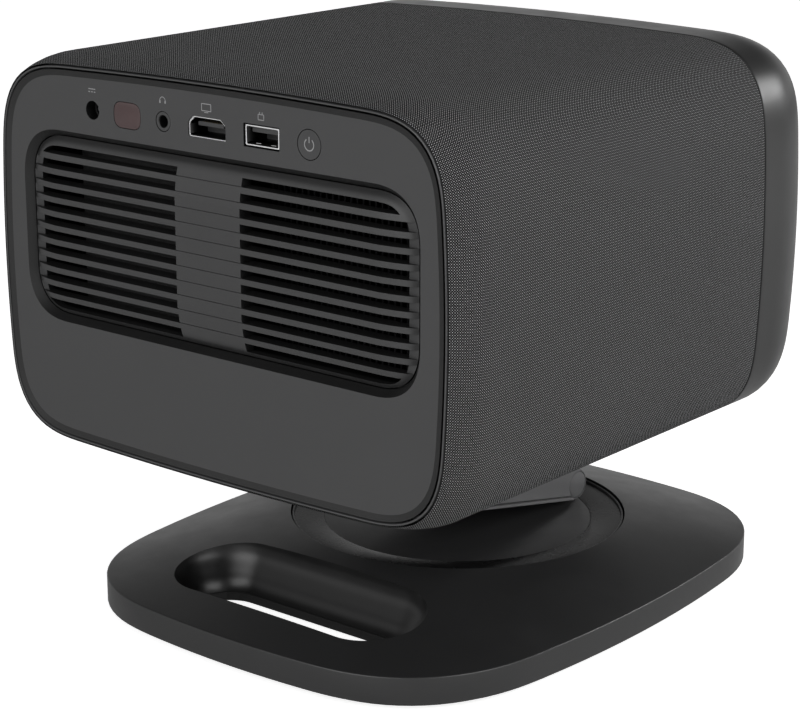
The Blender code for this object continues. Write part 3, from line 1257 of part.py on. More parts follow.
def build_blower_wheel(x, y, low, high):
    bore = AXLE_RADIUS + GAP
    profile = [(bore, low), (WHEEL_RADIUS, low), (WHEEL_RADIUS, low + WHEEL_DISC_THICKNESS),
               (WHEEL_HUB_RADIUS, low + WHEEL_DISC_THICKNESS), (WHEEL_HUB_RADIUS, high), (bore, high)]
    wheel = turned(profile, STEPS_MEDIUM, "Z", (x, y, 0.0))
    blades = []
    half = 0.5 * WHEEL_BLADE_THICKNESS
    for index in range(WHEEL_BLADES):
        blade = box((WHEEL_HUB_RADIUS - WHEEL_BLADE_OVERLAP, -half,
                     low + WHEEL_DISC_THICKNESS * SCREW_SOCKET_SHARE),
                    (WHEEL_RADIUS - WHEEL_BLADE_OVERLAP, half, high - WHEEL_CLEARANCE))
        turn = Matrix.Rotation(math.tau * index / WHEEL_BLADES, 4, "Z")
        blade.transform(Matrix.Translation((x, y, 0.0)) @ turn)
        blades.append(blade)
    place("blower_wheel", join(wheel, *blades), "black_plastic", (x, y, low))


def build_lamp_and_pipes():
    lamp = unit_box(LAMP_X - LAMP_HALF_WIDTH, LAMP_X + LAMP_HALF_WIDTH, LAMP_BACK_DEPTH, LAMP_FRONT_DEPTH,
                    deck_top(),
                    LAMP_TOP_UP, UNIT_BEVEL)
    place("lamp_module", lamp, "aluminium")
    start = SINK_BACK_DEPTH + SINK_FIN_DEPTH + SINK_BASE_THICKNESS + GAP
    for index, side in ((1, -1), (2, 1)):
        centre = (LAMP_X + side * PIPE_SPREAD, BACK_Y, BODY_CENTRE_Z + PIPE_UP)
        place("heat_pipe_%d" % index, cylinder(PIPE_RADIUS, start, LAMP_BACK_DEPTH - GAP, STEPS_SMALL, "Y",
                                               centre), "copper")


def build_optics():
    housing = unit_box(OPTICS_X - OPTICS_HALF_WIDTH, OPTICS_X + OPTICS_HALF_WIDTH, LAMP_FRONT_DEPTH + GAP,
                       OPTICS_FRONT_DEPTH,
                       deck_top(), OPTICS_TOP_UP, UNIT_BEVEL)
    place("optical_housing", housing, "black_plastic")
    seat = OPTICS_FRONT_DEPTH + GAP
    bore = BARREL_RADIUS + GAP
    outer = bore + TUBE_WALL
    profile = [(bore, seat), (outer + TUBE_FLANGE_WIDTH, seat),
               (outer + TUBE_FLANGE_WIDTH, seat + TUBE_FLANGE_THICKNESS),
               (outer, seat + TUBE_FLANGE_THICKNESS), (outer, seat + TUBE_LENGTH), (bore, seat + TUBE_LENGTH)]
    place("lens_tube", turned(profile, STEPS_MEDIUM, "Y", lens_point()), "black_plastic")
    build_lens_barrel()


def build_lens_barrel():
    front_seat = BARREL_FRONT_DEPTH - BARREL_SEAT
    profile = [(BARREL_STEP_RADIUS, BARREL_BACK_DEPTH), (BARREL_RADIUS, BARREL_BACK_DEPTH),
               (BARREL_RADIUS, BARREL_FRONT_DEPTH),
               (BARREL_BORE_RADIUS, BARREL_FRONT_DEPTH), (BARREL_BORE_RADIUS,
                                                          front_seat), (BARREL_STEP_RADIUS, front_seat)]
    barrel = turned(profile, STEPS_MEDIUM, "Y", lens_point())
    nut_point = motor_point()
    ear = cylinder(NUT_EAR_RADIUS, NUT_EAR_BACK_DEPTH, NUT_EAR_FRONT_DEPTH, STEPS_SMALL, "Y", nut_point)
    reach = MOTOR_X - LENS_X
    drop = LENS_UP - MOTOR_UP
    length = math.hypot(reach, drop)
    start = 0.5 * (BARREL_STEP_RADIUS + BARREL_RADIUS)
    web = box((start, NUT_EAR_BACK_DEPTH, -0.5 * NUT_EAR_RADIUS),
              (length - 0.5 * NUT_EAR_RADIUS, NUT_EAR_FRONT_DEPTH, 0.5 * NUT_EAR_RADIUS))
    web.transform(Matrix.Translation(lens_point()) @ Matrix.Rotation(math.atan2(drop, reach), 4, "Y"))
    hole = cylinder(SCREW_RADIUS + GAP, NUT_EAR_BACK_DEPTH - OVERRUN, NUT_EAR_FRONT_DEPTH + OVERRUN,
                    STEPS_SMALL, "Y", nut_point)
    place("lens_barrel", cut(join(barrel, ear, web), hole), "black_plastic", lens_point(BARREL_FRONT_DEPTH))
    radius = BARREL_BORE_RADIUS - GAP
    seat = front_seat + GAP
    front = [(0.0, seat), (radius, seat), (radius, seat + LENS_EDGE),
             (radius * 0.5, seat + LENS_EDGE + LENS_BULGE * LENS_BULGE_SHARE - 0.5 * LENS_EDGE),
             (0.0, seat + LENS_EDGE + LENS_BULGE - LENS_EDGE * 0.5)]
    place("front_lens", turned(front, STEPS_MEDIUM, "Y", lens_point()), "glass",
          lens_point(BARREL_FRONT_DEPTH))


def motor_point():
    return (MOTOR_X, BACK_Y, BODY_CENTRE_Z + MOTOR_UP)


def build_focus_drive():
    start = OPTICS_FRONT_DEPTH + GAP
    end = start + MOTOR_LENGTH
    place("focus_motor", cylinder(MOTOR_RADIUS, start, end, STEPS_MEDIUM, "Y", motor_point()), "steel")
    screw_start = end + GAP
    screw = cylinder(SCREW_RADIUS, screw_start, screw_start + FOCUS_SCREW_LENGTH, STEPS_SMALL, "Y",
                     motor_point())
    place("focus_screw", screw, "steel", motor_point())


def build_main_board():
    low = OPTICS_TOP_UP + GAP
    board = unit_box(-MAIN_BOARD_HALF_WIDTH, MAIN_BOARD_HALF_WIDTH, MAIN_BOARD_BACK_DEPTH,
                     MAIN_BOARD_FRONT_DEPTH, low,
                     low + BOARD_THICKNESS)
    place("main_board", board, "board_green")


def speaker_up():
    return 0.5 * (deck_top() + SPEAKER_TOP_UP)


def build_speakers():
    depth = 0.5 * (SPEAKER_BACK_DEPTH + SPEAKER_FRONT_DEPTH)
    for side, name in ((-1, "left"), (1, "right")):
        left = min(side * SPEAKER_INNER_X, side * SPEAKER_OUTER_X)
        right = max(side * SPEAKER_INNER_X, side * SPEAKER_OUTER_X)
        case = unit_box(left, right, SPEAKER_BACK_DEPTH, SPEAKER_FRONT_DEPTH, deck_top(), SPEAKER_TOP_UP)
        centre = (side * SPEAKER_OUTER_X, BACK_Y + depth, BODY_CENTRE_Z + speaker_up())
        pocket = cylinder(SPEAKER_POCKET_RADIUS, -SPEAKER_POCKET_DEPTH, SPEAKER_POCKET_DEPTH, STEPS_MEDIUM,
                          "X", centre)
        place("speaker_case_" + name, cut(case, pocket), "black_plastic")
        out = GAP + CONE_FLANGE_THICKNESS
        profile = [(0.0, GAP - CONE_DEPTH), (CONE_RADIUS, out), (CONE_FLANGE_RADIUS, out),
                   (CONE_FLANGE_RADIUS, GAP),
                   (CONE_RADIUS, GAP), (CONE_MAGNET_RADIUS, -CONE_DEPTH), (CONE_MAGNET_RADIUS,
                                                                           GAP - SPEAKER_POCKET_DEPTH + GAP),
                   (0.0, GAP - SPEAKER_POCKET_DEPTH + GAP)]
        driver = turned(profile, STEPS_MEDIUM)
        driver.transform(Matrix.Translation(centre) @ Matrix.Rotation(side * math.radians(90), 4, "Y"))
        place("speaker_driver_" + name, driver, "cone_paper")


# Front of the body

def build_front_ring():
    runs = RING_OUTER_RUNS + (RING_LIP_RUN,) + RING_INNER_RUNS
    insets = RING_OUTER_INSETS + (RING_LIP_INSET,) + RING_INNER_INSETS
    rings = [upright_ring(body_outline(inset), RING_START_DEPTH + run) for run, inset in zip(runs, insets)]
    place("front_ring", strip(rings, True), "dark_trim_plastic")


def sensor_outline(margin):
    return stadium(SENSOR_HALF_WIDTH + margin, SENSOR_HALF_HEIGHT + margin, CORNER_STEPS)


def front_panel_depths():
    front = RING_START_DEPTH + RING_INNER_RUNS[0] - GAP
    return front - FRONT_PANEL_THICKNESS, front


def build_front_panel():
    back, front = front_panel_depths()
    panel = upright_prism(body_outline(FRONT_PANEL_INSET), back, front)
    lens_hole = cylinder(LENS_HOLE_RADIUS, back - OVERRUN, front + OVERRUN, STEPS_LARGE, "Y", lens_point())
    sensor_hole = upright_prism(sensor_outline(GAP), back - OVERRUN, front + OVERRUN, SENSOR_UP, SENSOR_X)
    place("front_panel", cut(panel, lens_hole, sensor_hole), "gloss_black_plastic")
    small = sensor_outline(0.0)
    large = sensor_outline(SENSOR_FLANGE)
    rings = [upright_ring(small, front, SENSOR_UP, SENSOR_X),
             upright_ring(small, back - GAP, SENSOR_UP, SENSOR_X),
             upright_ring(large, back - GAP, SENSOR_UP, SENSOR_X),
             upright_ring(large, back - GAP - SENSOR_FLANGE_THICKNESS, SENSOR_UP, SENSOR_X)]
    place("sensor_window", strip(rings, False), "gloss_black_plastic")


def build_bezel():
    back, front = front_panel_depths()
    seat = back - GAP
    rear = seat - BEZEL_BACK_LENGTH
    throat = BEZEL_INNER_RADIUS + (BEZEL_OUTER_RADIUS - BEZEL_INNER_RADIUS) * BEZEL_FUNNEL_SHARE
    profile = [(BEZEL_INNER_RADIUS, rear), (BEZEL_OUTER_RADIUS + BEZEL_FLANGE_WIDTH, rear),
               (BEZEL_OUTER_RADIUS + BEZEL_FLANGE_WIDTH, seat), (BEZEL_OUTER_RADIUS, seat),
               (BEZEL_OUTER_RADIUS, BEZEL_FRONT_DEPTH), (throat, BEZEL_FRONT_DEPTH)]
    place("lens_bezel", turned(profile, STEPS_LARGE, "Y", lens_point()), "dark_trim_plastic")


def build_all():
    clear_objects()
    build_base_body()
    build_base_cover()
    build_ballast()
    build_foot_mat()
    build_cover_screws()
    build_washer()
    build_platter()
    build_bevel_ring()
    build_centre_disc()
    build_spindle()
    build_arm()
    build_arm_flange()
    build_hinge()
    build_mount_plate()
    build_sleeve()
    build_shell()
    build_back_lip()
    build_back_panel()
    build_vent_insert()
    build_ports()
    build_window()
    build_button()
    build_port_board()
    build_deck()
    build_heat_sink()
    build_blower()
    build_lamp_and_pipes()
    build_optics()
    build_focus_drive()
    build_main_board()
    build_speakers()
    build_front_ring()
    build_front_panel()
    build_bezel()


build_all()
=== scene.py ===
"""Looks of a video projector with a woven sleeve, on a turning and tilting stand.

Metres, +Z up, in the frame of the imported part: the back panel with the sockets faces -Y, the lens faces +Y.
"""
import json
import math

import bmesh
import bpy
from mathutils import Matrix, Vector

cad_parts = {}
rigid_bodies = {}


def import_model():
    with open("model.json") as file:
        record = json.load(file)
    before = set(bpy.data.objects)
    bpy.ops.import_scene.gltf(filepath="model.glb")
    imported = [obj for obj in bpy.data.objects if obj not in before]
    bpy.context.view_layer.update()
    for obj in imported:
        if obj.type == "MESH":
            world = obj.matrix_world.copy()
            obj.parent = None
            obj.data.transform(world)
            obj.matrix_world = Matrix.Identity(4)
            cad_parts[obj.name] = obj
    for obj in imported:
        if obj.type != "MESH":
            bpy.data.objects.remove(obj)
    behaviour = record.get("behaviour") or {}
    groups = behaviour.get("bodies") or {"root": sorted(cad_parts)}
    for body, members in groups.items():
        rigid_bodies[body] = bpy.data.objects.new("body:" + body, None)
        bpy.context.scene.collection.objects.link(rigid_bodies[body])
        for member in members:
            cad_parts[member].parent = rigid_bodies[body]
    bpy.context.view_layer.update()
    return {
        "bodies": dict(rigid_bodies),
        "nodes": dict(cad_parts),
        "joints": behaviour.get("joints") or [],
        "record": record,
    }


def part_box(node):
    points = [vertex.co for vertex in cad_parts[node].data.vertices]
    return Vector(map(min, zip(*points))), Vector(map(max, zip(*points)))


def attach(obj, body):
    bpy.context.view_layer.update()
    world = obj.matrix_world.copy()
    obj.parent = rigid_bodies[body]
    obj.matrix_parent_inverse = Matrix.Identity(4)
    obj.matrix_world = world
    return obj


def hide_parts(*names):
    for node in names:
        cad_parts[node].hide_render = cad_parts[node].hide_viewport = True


MM = 0.001

# Roundness of the fine surfaces
CORNER_STEPS = 20
SIDE_STEPS = 10
ROUND_STEPS = 128
SMALL_STEPS = 64
SMOOTH_ANGLE = math.radians(32)

# Body outline, seen from the back
BODY_HALF_WIDTH = 95.8 * MM
BODY_HALF_HEIGHT = 65.1 * MM
BODY_CORNER = 34.0 * MM
BODY_EXPONENT = 3.2
BODY_SIDE_BOW_SHARE = 0.040
BODY_TOP_BOW_SHARE = 0.030
LOW_SQUARING = 3.0 * MM
BODY_CENTRE_Z = 126.0 * MM
BACK_Y = -122.0 * MM

# Depths along the body, measured from the back panel, and insets from the outline
SLEEVE_EDGE_INSET = 3.15 * MM
SLEEVE_EDGE_DEPTH = -0.30 * MM
SLEEVE_TAPER_DEPTH = 15.5 * MM
SLEEVE_TAPER_STEPS = 12
SHELL_THICKNESS = 2.2 * MM
SHELL_BACK_DEPTH = 6.3 * MM
SOUND_HOLE_RADIUS = 17.5 * MM
SLEEVE_THICKNESS = 1.2 * MM
SLEEVE_FRONT_DEPTH = 161.6 * MM
BORDER_SKEW = 0.5 * MM
PANEL_THICKNESS = 3.7 * MM

# Vent recess and insert
VENT_HALF_WIDTH = 81.6 * MM
VENT_HALF_HEIGHT = 31.2 * MM
VENT_CORNER = 18.4 * MM
VENT_EXPONENT = 2.6
VENT_UP = 9.2 * MM
VENT_WALL = 1.4 * MM
VENT_DEPTH = 9.0 * MM
VENT_FUNNEL_WIDTH = 1.9 * MM
VENT_FUNNEL_DEPTH = 2.4 * MM
VENT_LEDGE_DEPTH = 4.8 * MM
VENT_LEDGE_WIDTH = 1.4 * MM
INSERT_INSET = 2.3 * MM
INSERT_BACK_DEPTH = 4.5 * MM
SLAT_COUNT = 11
SLAT_PITCH = 4.6 * MM
SLAT_HEIGHT = 1.8 * MM
FIRST_SLAT_TOP = 23.2 * MM
COLUMN_HALF_WIDTH = 13.4 * MM
OPENING_HALF_WIDTH = 75.7 * MM
OPENING_TOP = 25.9 * MM
OPENING_BOTTOM = -27.5 * MM
OPENING_CORNER = 10.5 * MM

# Row of sockets
PORT_UP = 48.4 * MM
DC_X = -48.9 * MM
WINDOW_X = -33.7 * MM
JACK_X = -18.2 * MM
VIDEO_X = 0.0
DATA_X = 22.0 * MM
BUTTON_X = 40.6 * MM
LABEL_UP = 54.6 * MM

# Base plate
BASE_HALF_WIDTH = 88.3 * MM
BASE_HALF_LENGTH = 107.0 * MM
BASE_CENTRE_Y = -13.5 * MM
BASE_CORNER = 51.4 * MM
BASE_EXPONENT = 2.9
BASE_SIDE_BOW_SHARE = 0.12
BASE_END_BOW_SHARE = 0.08
BASE_RIM_Z = 11.7 * MM
BASE_TOP_Z = 21.5 * MM
BASE_SKIRT_Z = 2.4 * MM
SLOT_BLOCK_Z = 3.6 * MM
SLOT_COLLAR_INSET = 5.0 * MM
BASE_ROOF_Z = 8.6 * MM
BASE_WALL = 3.2 * MM
DOME_POWER = 1.12
POCKET_RADIUS = 58.8 * MM
POCKET_FLOOR_Z = 13.0 * MM
SLOT_CENTRE_Y = -84.9 * MM
SLOT_HALF_LENGTH = 49.8 * MM
SLOT_HALF_WIDTH = 18.3 * MM

# Lens side
LENS_UP = 4.0 * MM
TILT_Y = 39.6 * MM
TILT_Z = 25.0 * MM


# Outlines

QUARTERS = ((1, 1), (-1, 1), (-1, -1), (1, -1))


def squircle(half_x, half_y, corners, exponent, bow_x=0.0, bow_y=0.0, corner_steps=CORNER_STEPS,
             side_steps=SIDE_STEPS):
    """Closed outline with squared-off round corners, upper and lower, and slightly bowed sides."""
    points = []
    for quarter, (sign_x, sign_y) in enumerate(QUARTERS):
        arc = []
        corner = corners[0] if sign_y > 0 else corners[1]
        for step in range(corner_steps + 1):
            turn = 0.5 * math.pi * step / corner_steps
            cosine, sine = math.cos(turn), math.sin(turn)
            reach = (abs(cosine) ** exponent + abs(sine) ** exponent) ** (-1.0 / exponent)
            arc.append((sign_x * (half_x - corner + corner * reach * cosine),
                        sign_y * (half_y - corner + corner * reach * sine)))
        if quarter % 2:
            arc.reverse()
        if points:
            points += between(points[-1], arc[0], side_steps)
        points += arc
    points += between(points[-1], points[0], side_steps)
    return [(x * (1.0 - bow_x * (y / half_y) ** 2), y * (1.0 - bow_y * (x / half_x) ** 2)) for x, y in points]


def between(first, last, steps):
    return [(first[0] + (last[0] - first[0]) * step / steps, first[1] + (last[1] - first[1]) * step / steps)
            for step in range(1, steps)]


def arc(radius, start, end, steps, centre=(0.0, 0.0)):
    turns = [start + (end - start) * step / steps for step in range(steps + 1)]
    return [(centre[0] + radius * math.cos(turn), centre[1] + radius * math.sin(turn)) for turn in turns]


def circle(radius, steps):
    return arc(radius, 0.0, math.tau, steps)[:-1]


def stadium(half_length, half_width, steps):
    straight = half_length - half_width
    return (arc(half_width, -0.5 * math.pi, 0.5 * math.pi, steps, (straight, 0.0))
            + arc(half_width, 0.5 * math.pi, 1.5 * math.pi, steps, (-straight, 0.0)))


def rounded_rectangle(half_x, half_y, radius, steps=6):
    points = []
    for quarter, (sign_x, sign_y) in enumerate(QUARTERS):
        start = 0.5 * math.pi * quarter
        points += arc(radius, start, start + 0.5 * math.pi, steps,
                      (sign_x * (half_x - radius), sign_y * (half_y - radius)))
    return points


def small_arc(start, corner, end, steps):
    points = []
    for step in range(steps + 1):
        share = step / steps
        points.append(tuple((1 - share) ** 2 * start + 2 * share * (1 - share) * corner + share ** 2 * end))
    return points


def rounded_polygon(corners, radius, steps=4):
    """Outline with each corner replaced by a small arc."""
    points = []
    for index, corner in enumerate(corners):
        here = Vector(corner)
        before = (Vector(corners[index - 1]) - here).normalized()
        after = (Vector(corners[(index + 1) % len(corners)]) - here).normalized()
        points += small_arc(here + before * radius, here, here + after * radius, steps)
    return points


def smooth_path(points, steps):
    """Curve through the points with even spacing between neighbours."""
    path = []
    padded = [points[0]] + list(points) + [points[-1]]
    for index in range(1, len(padded) - 2):
        p0, p1, p2, p3 = (Vector(padded[index + offset]) for offset in (-1, 0, 1, 2))
        for step in range(steps):
            t = step / steps
            path.append(tuple(0.5 * (2 * p1 + (p2 - p0) * t + (2 * p0 - 5 * p1 + 4 * p2 - p3) * t ** 2
                                     + (3 * p1 - p0 - 3 * p2 + p3) * t ** 3)))
    path.append(tuple(points[-1]))
    return path


def body_outline(inset, back_share=0.0):
    """Outline of the body at an inset; its lower corners are squarer in front than round the back panel."""
    skew = BORDER_SKEW * back_share
    corner = BODY_CORNER - inset
    return squircle(BODY_HALF_WIDTH - inset - skew, BODY_HALF_HEIGHT - inset + skew,
                    (corner, corner - LOW_SQUARING * (1.0 - back_share)), BODY_EXPONENT,
                    BODY_SIDE_BOW_SHARE, BODY_TOP_BOW_SHARE)


def vent_outline(inset):
    corners = [VENT_CORNER - inset] * 2
    return squircle(VENT_HALF_WIDTH - inset, VENT_HALF_HEIGHT - inset, corners, VENT_EXPONENT)


def base_outline(inset):
    corners = [BASE_CORNER - inset] * 2
    points = squircle(BASE_HALF_WIDTH - inset, BASE_HALF_LENGTH - inset, corners, BASE_EXPONENT,
                      BASE_SIDE_BOW_SHARE, BASE_END_BOW_SHARE)
    return [(x, y + BASE_CENTRE_Y) for x, y in points]


def level_ring(points, z):
    return [Vector((x, y, z)) for x, y in points]


def upright_ring(points, depth, up=0.0, x=0.0):
    return [Vector((x + px, BACK_Y + depth, BODY_CENTRE_Z + up + pz)) for px, pz in points]


# Solids

def strip(rings, closed):
    mesh = bmesh.new()
    rows = [[mesh.verts.new(point) for point in ring] for ring in rings]
    count = len(rows[0])
    pairs = list(zip(rows, rows[1:]))
    if closed:
        pairs.append((rows[-1], rows[0]))
    for low, high in pairs:
        for index in range(count):
            after = (index + 1) % count
            mesh.faces.new((low[index], low[after], high[after], high[index]))
    if not closed:
        mesh.faces.new(rows[0])
        mesh.faces.new(rows[-1])
    return mesh


def prism(points, low, high):
    return strip([level_ring(points, low), level_ring(points, high)], False)


def upright_prism(points, back, front, up=0.0, x=0.0):
    return strip([upright_ring(points, back, up, x), upright_ring(points, front, up, x)], False)


def turned(profile, axis="Z", centre=(0.0, 0.0, 0.0), steps=SMALL_STEPS):
    mesh = bmesh.new()
    rows = []
    for radius, height in profile:
        if radius == 0.0:
            rows.append([mesh.verts.new((0.0, 0.0, height))])
        else:
            rows.append([mesh.verts.new((x, y, height)) for x, y in circle(radius, steps)])
    pairs = list(zip(rows, rows[1:]))
    if len(rows[0]) > 1:
        pairs.append((rows[-1], rows[0]))
    for low, high in pairs:
        for index in range(steps):
            after = (index + 1) % steps
            corners = [row[column % len(row)] for row, column in ((low, index), (low, after), (high, after),
                                                                  (high, index))]
            mesh.faces.new(list(dict.fromkeys(corners)))
    turn = {"X": Matrix.Rotation(math.radians(90), 4, "Y"), "Y": Matrix.Rotation(math.radians(-90), 4, "X"),
            "Z": Matrix.Identity(4)}[axis]
    mesh.transform(Matrix.Translation(centre) @ turn)
    return mesh


def cylinder(radius, low, high, axis="Z", centre=(0.0, 0.0, 0.0), steps=SMALL_STEPS):
    return turned([(0.0, low), (radius, low), (radius, high), (0.0, high)], axis, centre, steps)


def soft_corners(profile, radius, steps=3):
    """Profile in metres from one in millimetres, with small arcs for its corners away from the axis."""
    points = []
    count = len(profile)
    closed = profile[0][0] > 0.0
    profile = [(here_r * MM, here_h * MM) for here_r, here_h in profile]
    for index, (here_r, here_h) in enumerate(profile):
        ends = index in (0, count - 1) and not closed
        if ends or here_r == 0.0:
            points.append((here_r, here_h))
            continue
        here = Vector((here_r, here_h))
        before = Vector(profile[index - 1]) - here
        after = Vector(profile[(index + 1) % count]) - here
        reach = min(radius * MM, 0.45 * before.length, 0.45 * after.length)
        points += small_arc(here + before.normalized() * reach, here, here + after.normalized() * reach, steps)
    return points


def mesh_data(mesh, name="shape"):
    bmesh.ops.recalc_face_normals(mesh, faces=mesh.faces[:])
    data = bpy.data.meshes.new(name)
    mesh.to_mesh(data)
    mesh.free()
    return data


def linked(name, data):
    made = bpy.data.objects.new(name, data)
    bpy.context.scene.collection.objects.link(made)
    return made


def combine(mesh, others, operation):
    target, *helpers = [linked("shape", mesh_data(item)) for item in (mesh, *others)]
    for helper in helpers:
        step = target.modifiers.new("shape", "BOOLEAN")
        step.operation = operation
        step.solver = "EXACT"
        step.object = helper
    bpy.context.view_layer.update()
    evaluated = target.evaluated_get(bpy.context.evaluated_depsgraph_get())
    result = bmesh.new()
    result.from_mesh(evaluated.data)
    for item in [target] + helpers:
        data = item.data
        bpy.data.objects.remove(item, do_unlink=True)
        bpy.data.meshes.remove(data)
    return result


def cut(mesh, *others):
    return combine(mesh, others, "DIFFERENCE")


def join(mesh, *others):
    return combine(mesh, others, "UNION")


def place(name, mesh, look, stands_for, body="projector", added=False, bevel=0.0, segments=3,
          crease=SMOOTH_ANGLE):
    """Make a piece on its body that stands for a CAD node, which it hides, or that is added to it."""
    data = mesh_data(mesh, name)
    data.shade_smooth()
    if not bevel:
        data.set_sharp_from_angle(angle=crease)
    data.materials.append(LOOKS[look])
    piece = linked(name, data)
    if bevel:
        rounding = piece.modifiers.new("edges", "BEVEL")
        rounding.width = bevel
        rounding.segments = segments
        rounding.limit_method = "ANGLE"
        rounding.angle_limit = crease
        rounding.harden_normals = True
    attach(piece, body)
    if not added:
        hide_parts(stands_for)


# Materials

LOOKS = {}
COOL_TINT = (1.0, 1.0, 1.02)
WHITE = (1.0, 1.0, 1.0, 1.0)
NOISE_SPAN = (0.3, 0.7)

# Darkest and lightest shares of a colour, and steps below and above a roughness
PLASTIC_SHADES = (0.95, 1.05)
PLASTIC_SPREAD = (-0.03, 0.04)
METAL_SHADES = (0.90, 1.06)
METAL_SPREAD = (-0.06, 0.08)
WINDOW_SHADES = (0.85, 1.10)
WINDOW_SPREAD = (-0.02, 0.03)

# Scale, detail and roughness of the noises
PLASTIC_CLOUD = (45.0, 4.0, 0.6)
PLASTIC_FILM = (90.0, 5.0, 0.65)
METAL_CLOUD = (120.0, 4.0, 0.6)
WINDOW_DEPTH = (200.0, 3.0, 0.5)
WINDOW_FILM = (60.0, 4.0, 0.6)
GLASS_FILM = (70.0, 3.0, 0.5)
BOARD_FILM = (150.0, 3.0, 0.5)
YARN_DRIFT = (160.0, 2.0, 0.5)
YARN_FLECK = (1400.0, 3.0, 0.7)
FLOOR_CLOUD = (3.0, 3.0, 0.5)

# Woven sleeve
THREAD_AROUND = 0.416 * MM
THREAD_ALONG = 0.422 * MM
THREAD_RELIEF = 0.07 * MM
THREAD_SWAY = 0.05
CROWN_SHARES = (0.55, 0.45)
OPEN_SPAN = (0.50, 0.80)
FLECK_SPAN = (0.35, 0.65)
FLECK_SHARE = 0.25
BRIGHT_YARN = 0.540
MIDDLE_YARN = 0.230
DARK_YARN = 0.005
FLECK_LEVEL = 0.050


def feed(tree, value, socket):
    """Link another node's output to a socket, or set its value."""
    if isinstance(value, bpy.types.NodeSocket):
        tree.links.new(value, socket)
    else:
        socket.default_value = value


def node(tree, kind, **values):
    made = tree.nodes.new(kind)
    for key, value in values.items():
        if key in made.inputs:
            feed(tree, value, made.inputs[key])
        else:
            setattr(made, key, value)
    return made


def math_node(tree, operation, *values):
    made = node(tree, "ShaderNodeMath", operation=operation)
    for socket, value in zip(made.inputs, values):
        feed(tree, value, socket)
    return made.outputs[0]


def mix_colour(tree, factor, first, second):
    made = node(tree, "ShaderNodeMix", data_type="RGBA")
    for index, value in ((0, factor), (6, first), (7, second)):
        feed(tree, value, made.inputs[index])
    return made.outputs[2]


def map_range(tree, value, low, high, to_low, to_high):
    spans = {"From Min": low, "From Max": high, "To Min": to_low, "To Max": to_high}
    return node(tree, "ShaderNodeMapRange", Value=value, **spans).outputs["Result"]


def coordinates(tree, kind="Object"):
    return tree.nodes.new("ShaderNodeTexCoord").outputs[kind]


def separate(tree, vector):
    return node(tree, "ShaderNodeSeparateXYZ", Vector=vector).outputs


def noise(tree, vector, scale, detail, roughness):
    made = node(tree, "ShaderNodeTexNoise", Vector=vector, Scale=scale, Detail=detail, Roughness=roughness)
    return made.outputs["Fac"]


def start_material(name):
    made = bpy.data.materials.new(name)
    made.use_nodes = True
    tree = made.node_tree
    return made, tree, tree.nodes["Principled BSDF"], coordinates(tree)


def set_values(shader, **values):
    for key, value in values.items():
        shader.inputs[key.replace("_", " ")].default_value = value


def shaded(colour, share):
    return tuple(value * share for value in colour) + (1.0,)


def grey(level):
    return shaded(COOL_TINT, level)


def paint(tree, shader, pattern, dark, light):
    feed(tree, mix_colour(tree, pattern, dark, light), shader.inputs["Base Color"])


def polish(tree, shader, pattern, roughness, spread):
    """Roughness that wanders a little below and above its value."""
    low, high = (roughness + step for step in spread)
    feed(tree, map_range(tree, pattern, *NOISE_SPAN, low, high), shader.inputs["Roughness"])


def emboss(tree, shader, height, depth):
    bump = node(tree, "ShaderNodeBump", Height=height, Strength=1.0, Distance=depth)
    feed(tree, bump.outputs["Normal"], shader.inputs["Normal"])


def plastic(name, level, roughness, grain_size, grain_depth, specular=0.5, coat=0.0):
    """Moulded plastic with a fine grain, sized in millimetres, and faint cloudiness in colour and gloss."""
    made, tree, shader, spot = start_material(name)
    shades = [grey(level * share) for share in PLASTIC_SHADES]
    paint(tree, shader, noise(tree, spot, *PLASTIC_CLOUD), *shades)
    polish(tree, shader, noise(tree, spot, *PLASTIC_FILM), roughness, PLASTIC_SPREAD)
    emboss(tree, shader, noise(tree, spot, 1.0 / (grain_size * MM), 2.0, 0.5), grain_depth * MM)
    shader.inputs["Specular IOR Level"].default_value = specular
    if coat:
        set_values(shader, Coat_Weight=coat, Coat_Roughness=0.06)
    return made


def paint_shade_on_turned_faces(made, axis, span, dark, within=()):
    """The look with painted shade: a darker base colour on faces turned away from an axis, everywhere or inside a
    box in X and Y.
    """
    tree = made.node_tree
    normal = tree.nodes.new("ShaderNodeNewGeometry").outputs["Normal"]
    facing = node(tree, "ShaderNodeVectorTransform", vector_type="NORMAL", convert_from="WORLD",
                  convert_to="OBJECT", Vector=normal).outputs[0]
    unshaded_share = map_range(tree, math_node(tree, "ABSOLUTE", separate(tree, facing)[axis]), *span, 0.0, 1.0)
    if within:
        spot = separate(tree, coordinates(tree))
        for side, (middle, reach) in zip("XY", within):
            inside = math_node(tree, "COMPARE", spot[side], middle, reach)
            unshaded_share = math_node(tree, "MAXIMUM", unshaded_share, math_node(tree, "SUBTRACT", 1.0, inside))
    shader = tree.nodes["Principled BSDF"]
    # Painted shade: faces turned from the axis take the dark colour instead of their own
    paint(tree, shader, unshaded_share, grey(dark), shader.inputs["Base Color"].links[0].from_socket)
    return made


def metal(name, colour, roughness, grain_size, grain_depth, stretch=(1.0, 1.0, 1.0)):
    """Metal with a directional or even surface grain, sized in millimetres."""
    made, tree, shader, spot = start_material(name)
    paint(tree, shader, noise(tree, spot, *METAL_CLOUD), *[shaded(colour, share) for share in METAL_SHADES])
    stretched = node(tree, "ShaderNodeMapping", Vector=spot, Scale=stretch).outputs["Vector"]
    grain = noise(tree, stretched, 1.0 / (grain_size * MM), 3.0, 0.55)
    polish(tree, shader, grain, roughness, METAL_SPREAD)
    emboss(tree, shader, grain, grain_depth * MM)
    set_values(shader, Metallic=1.0)
    return made


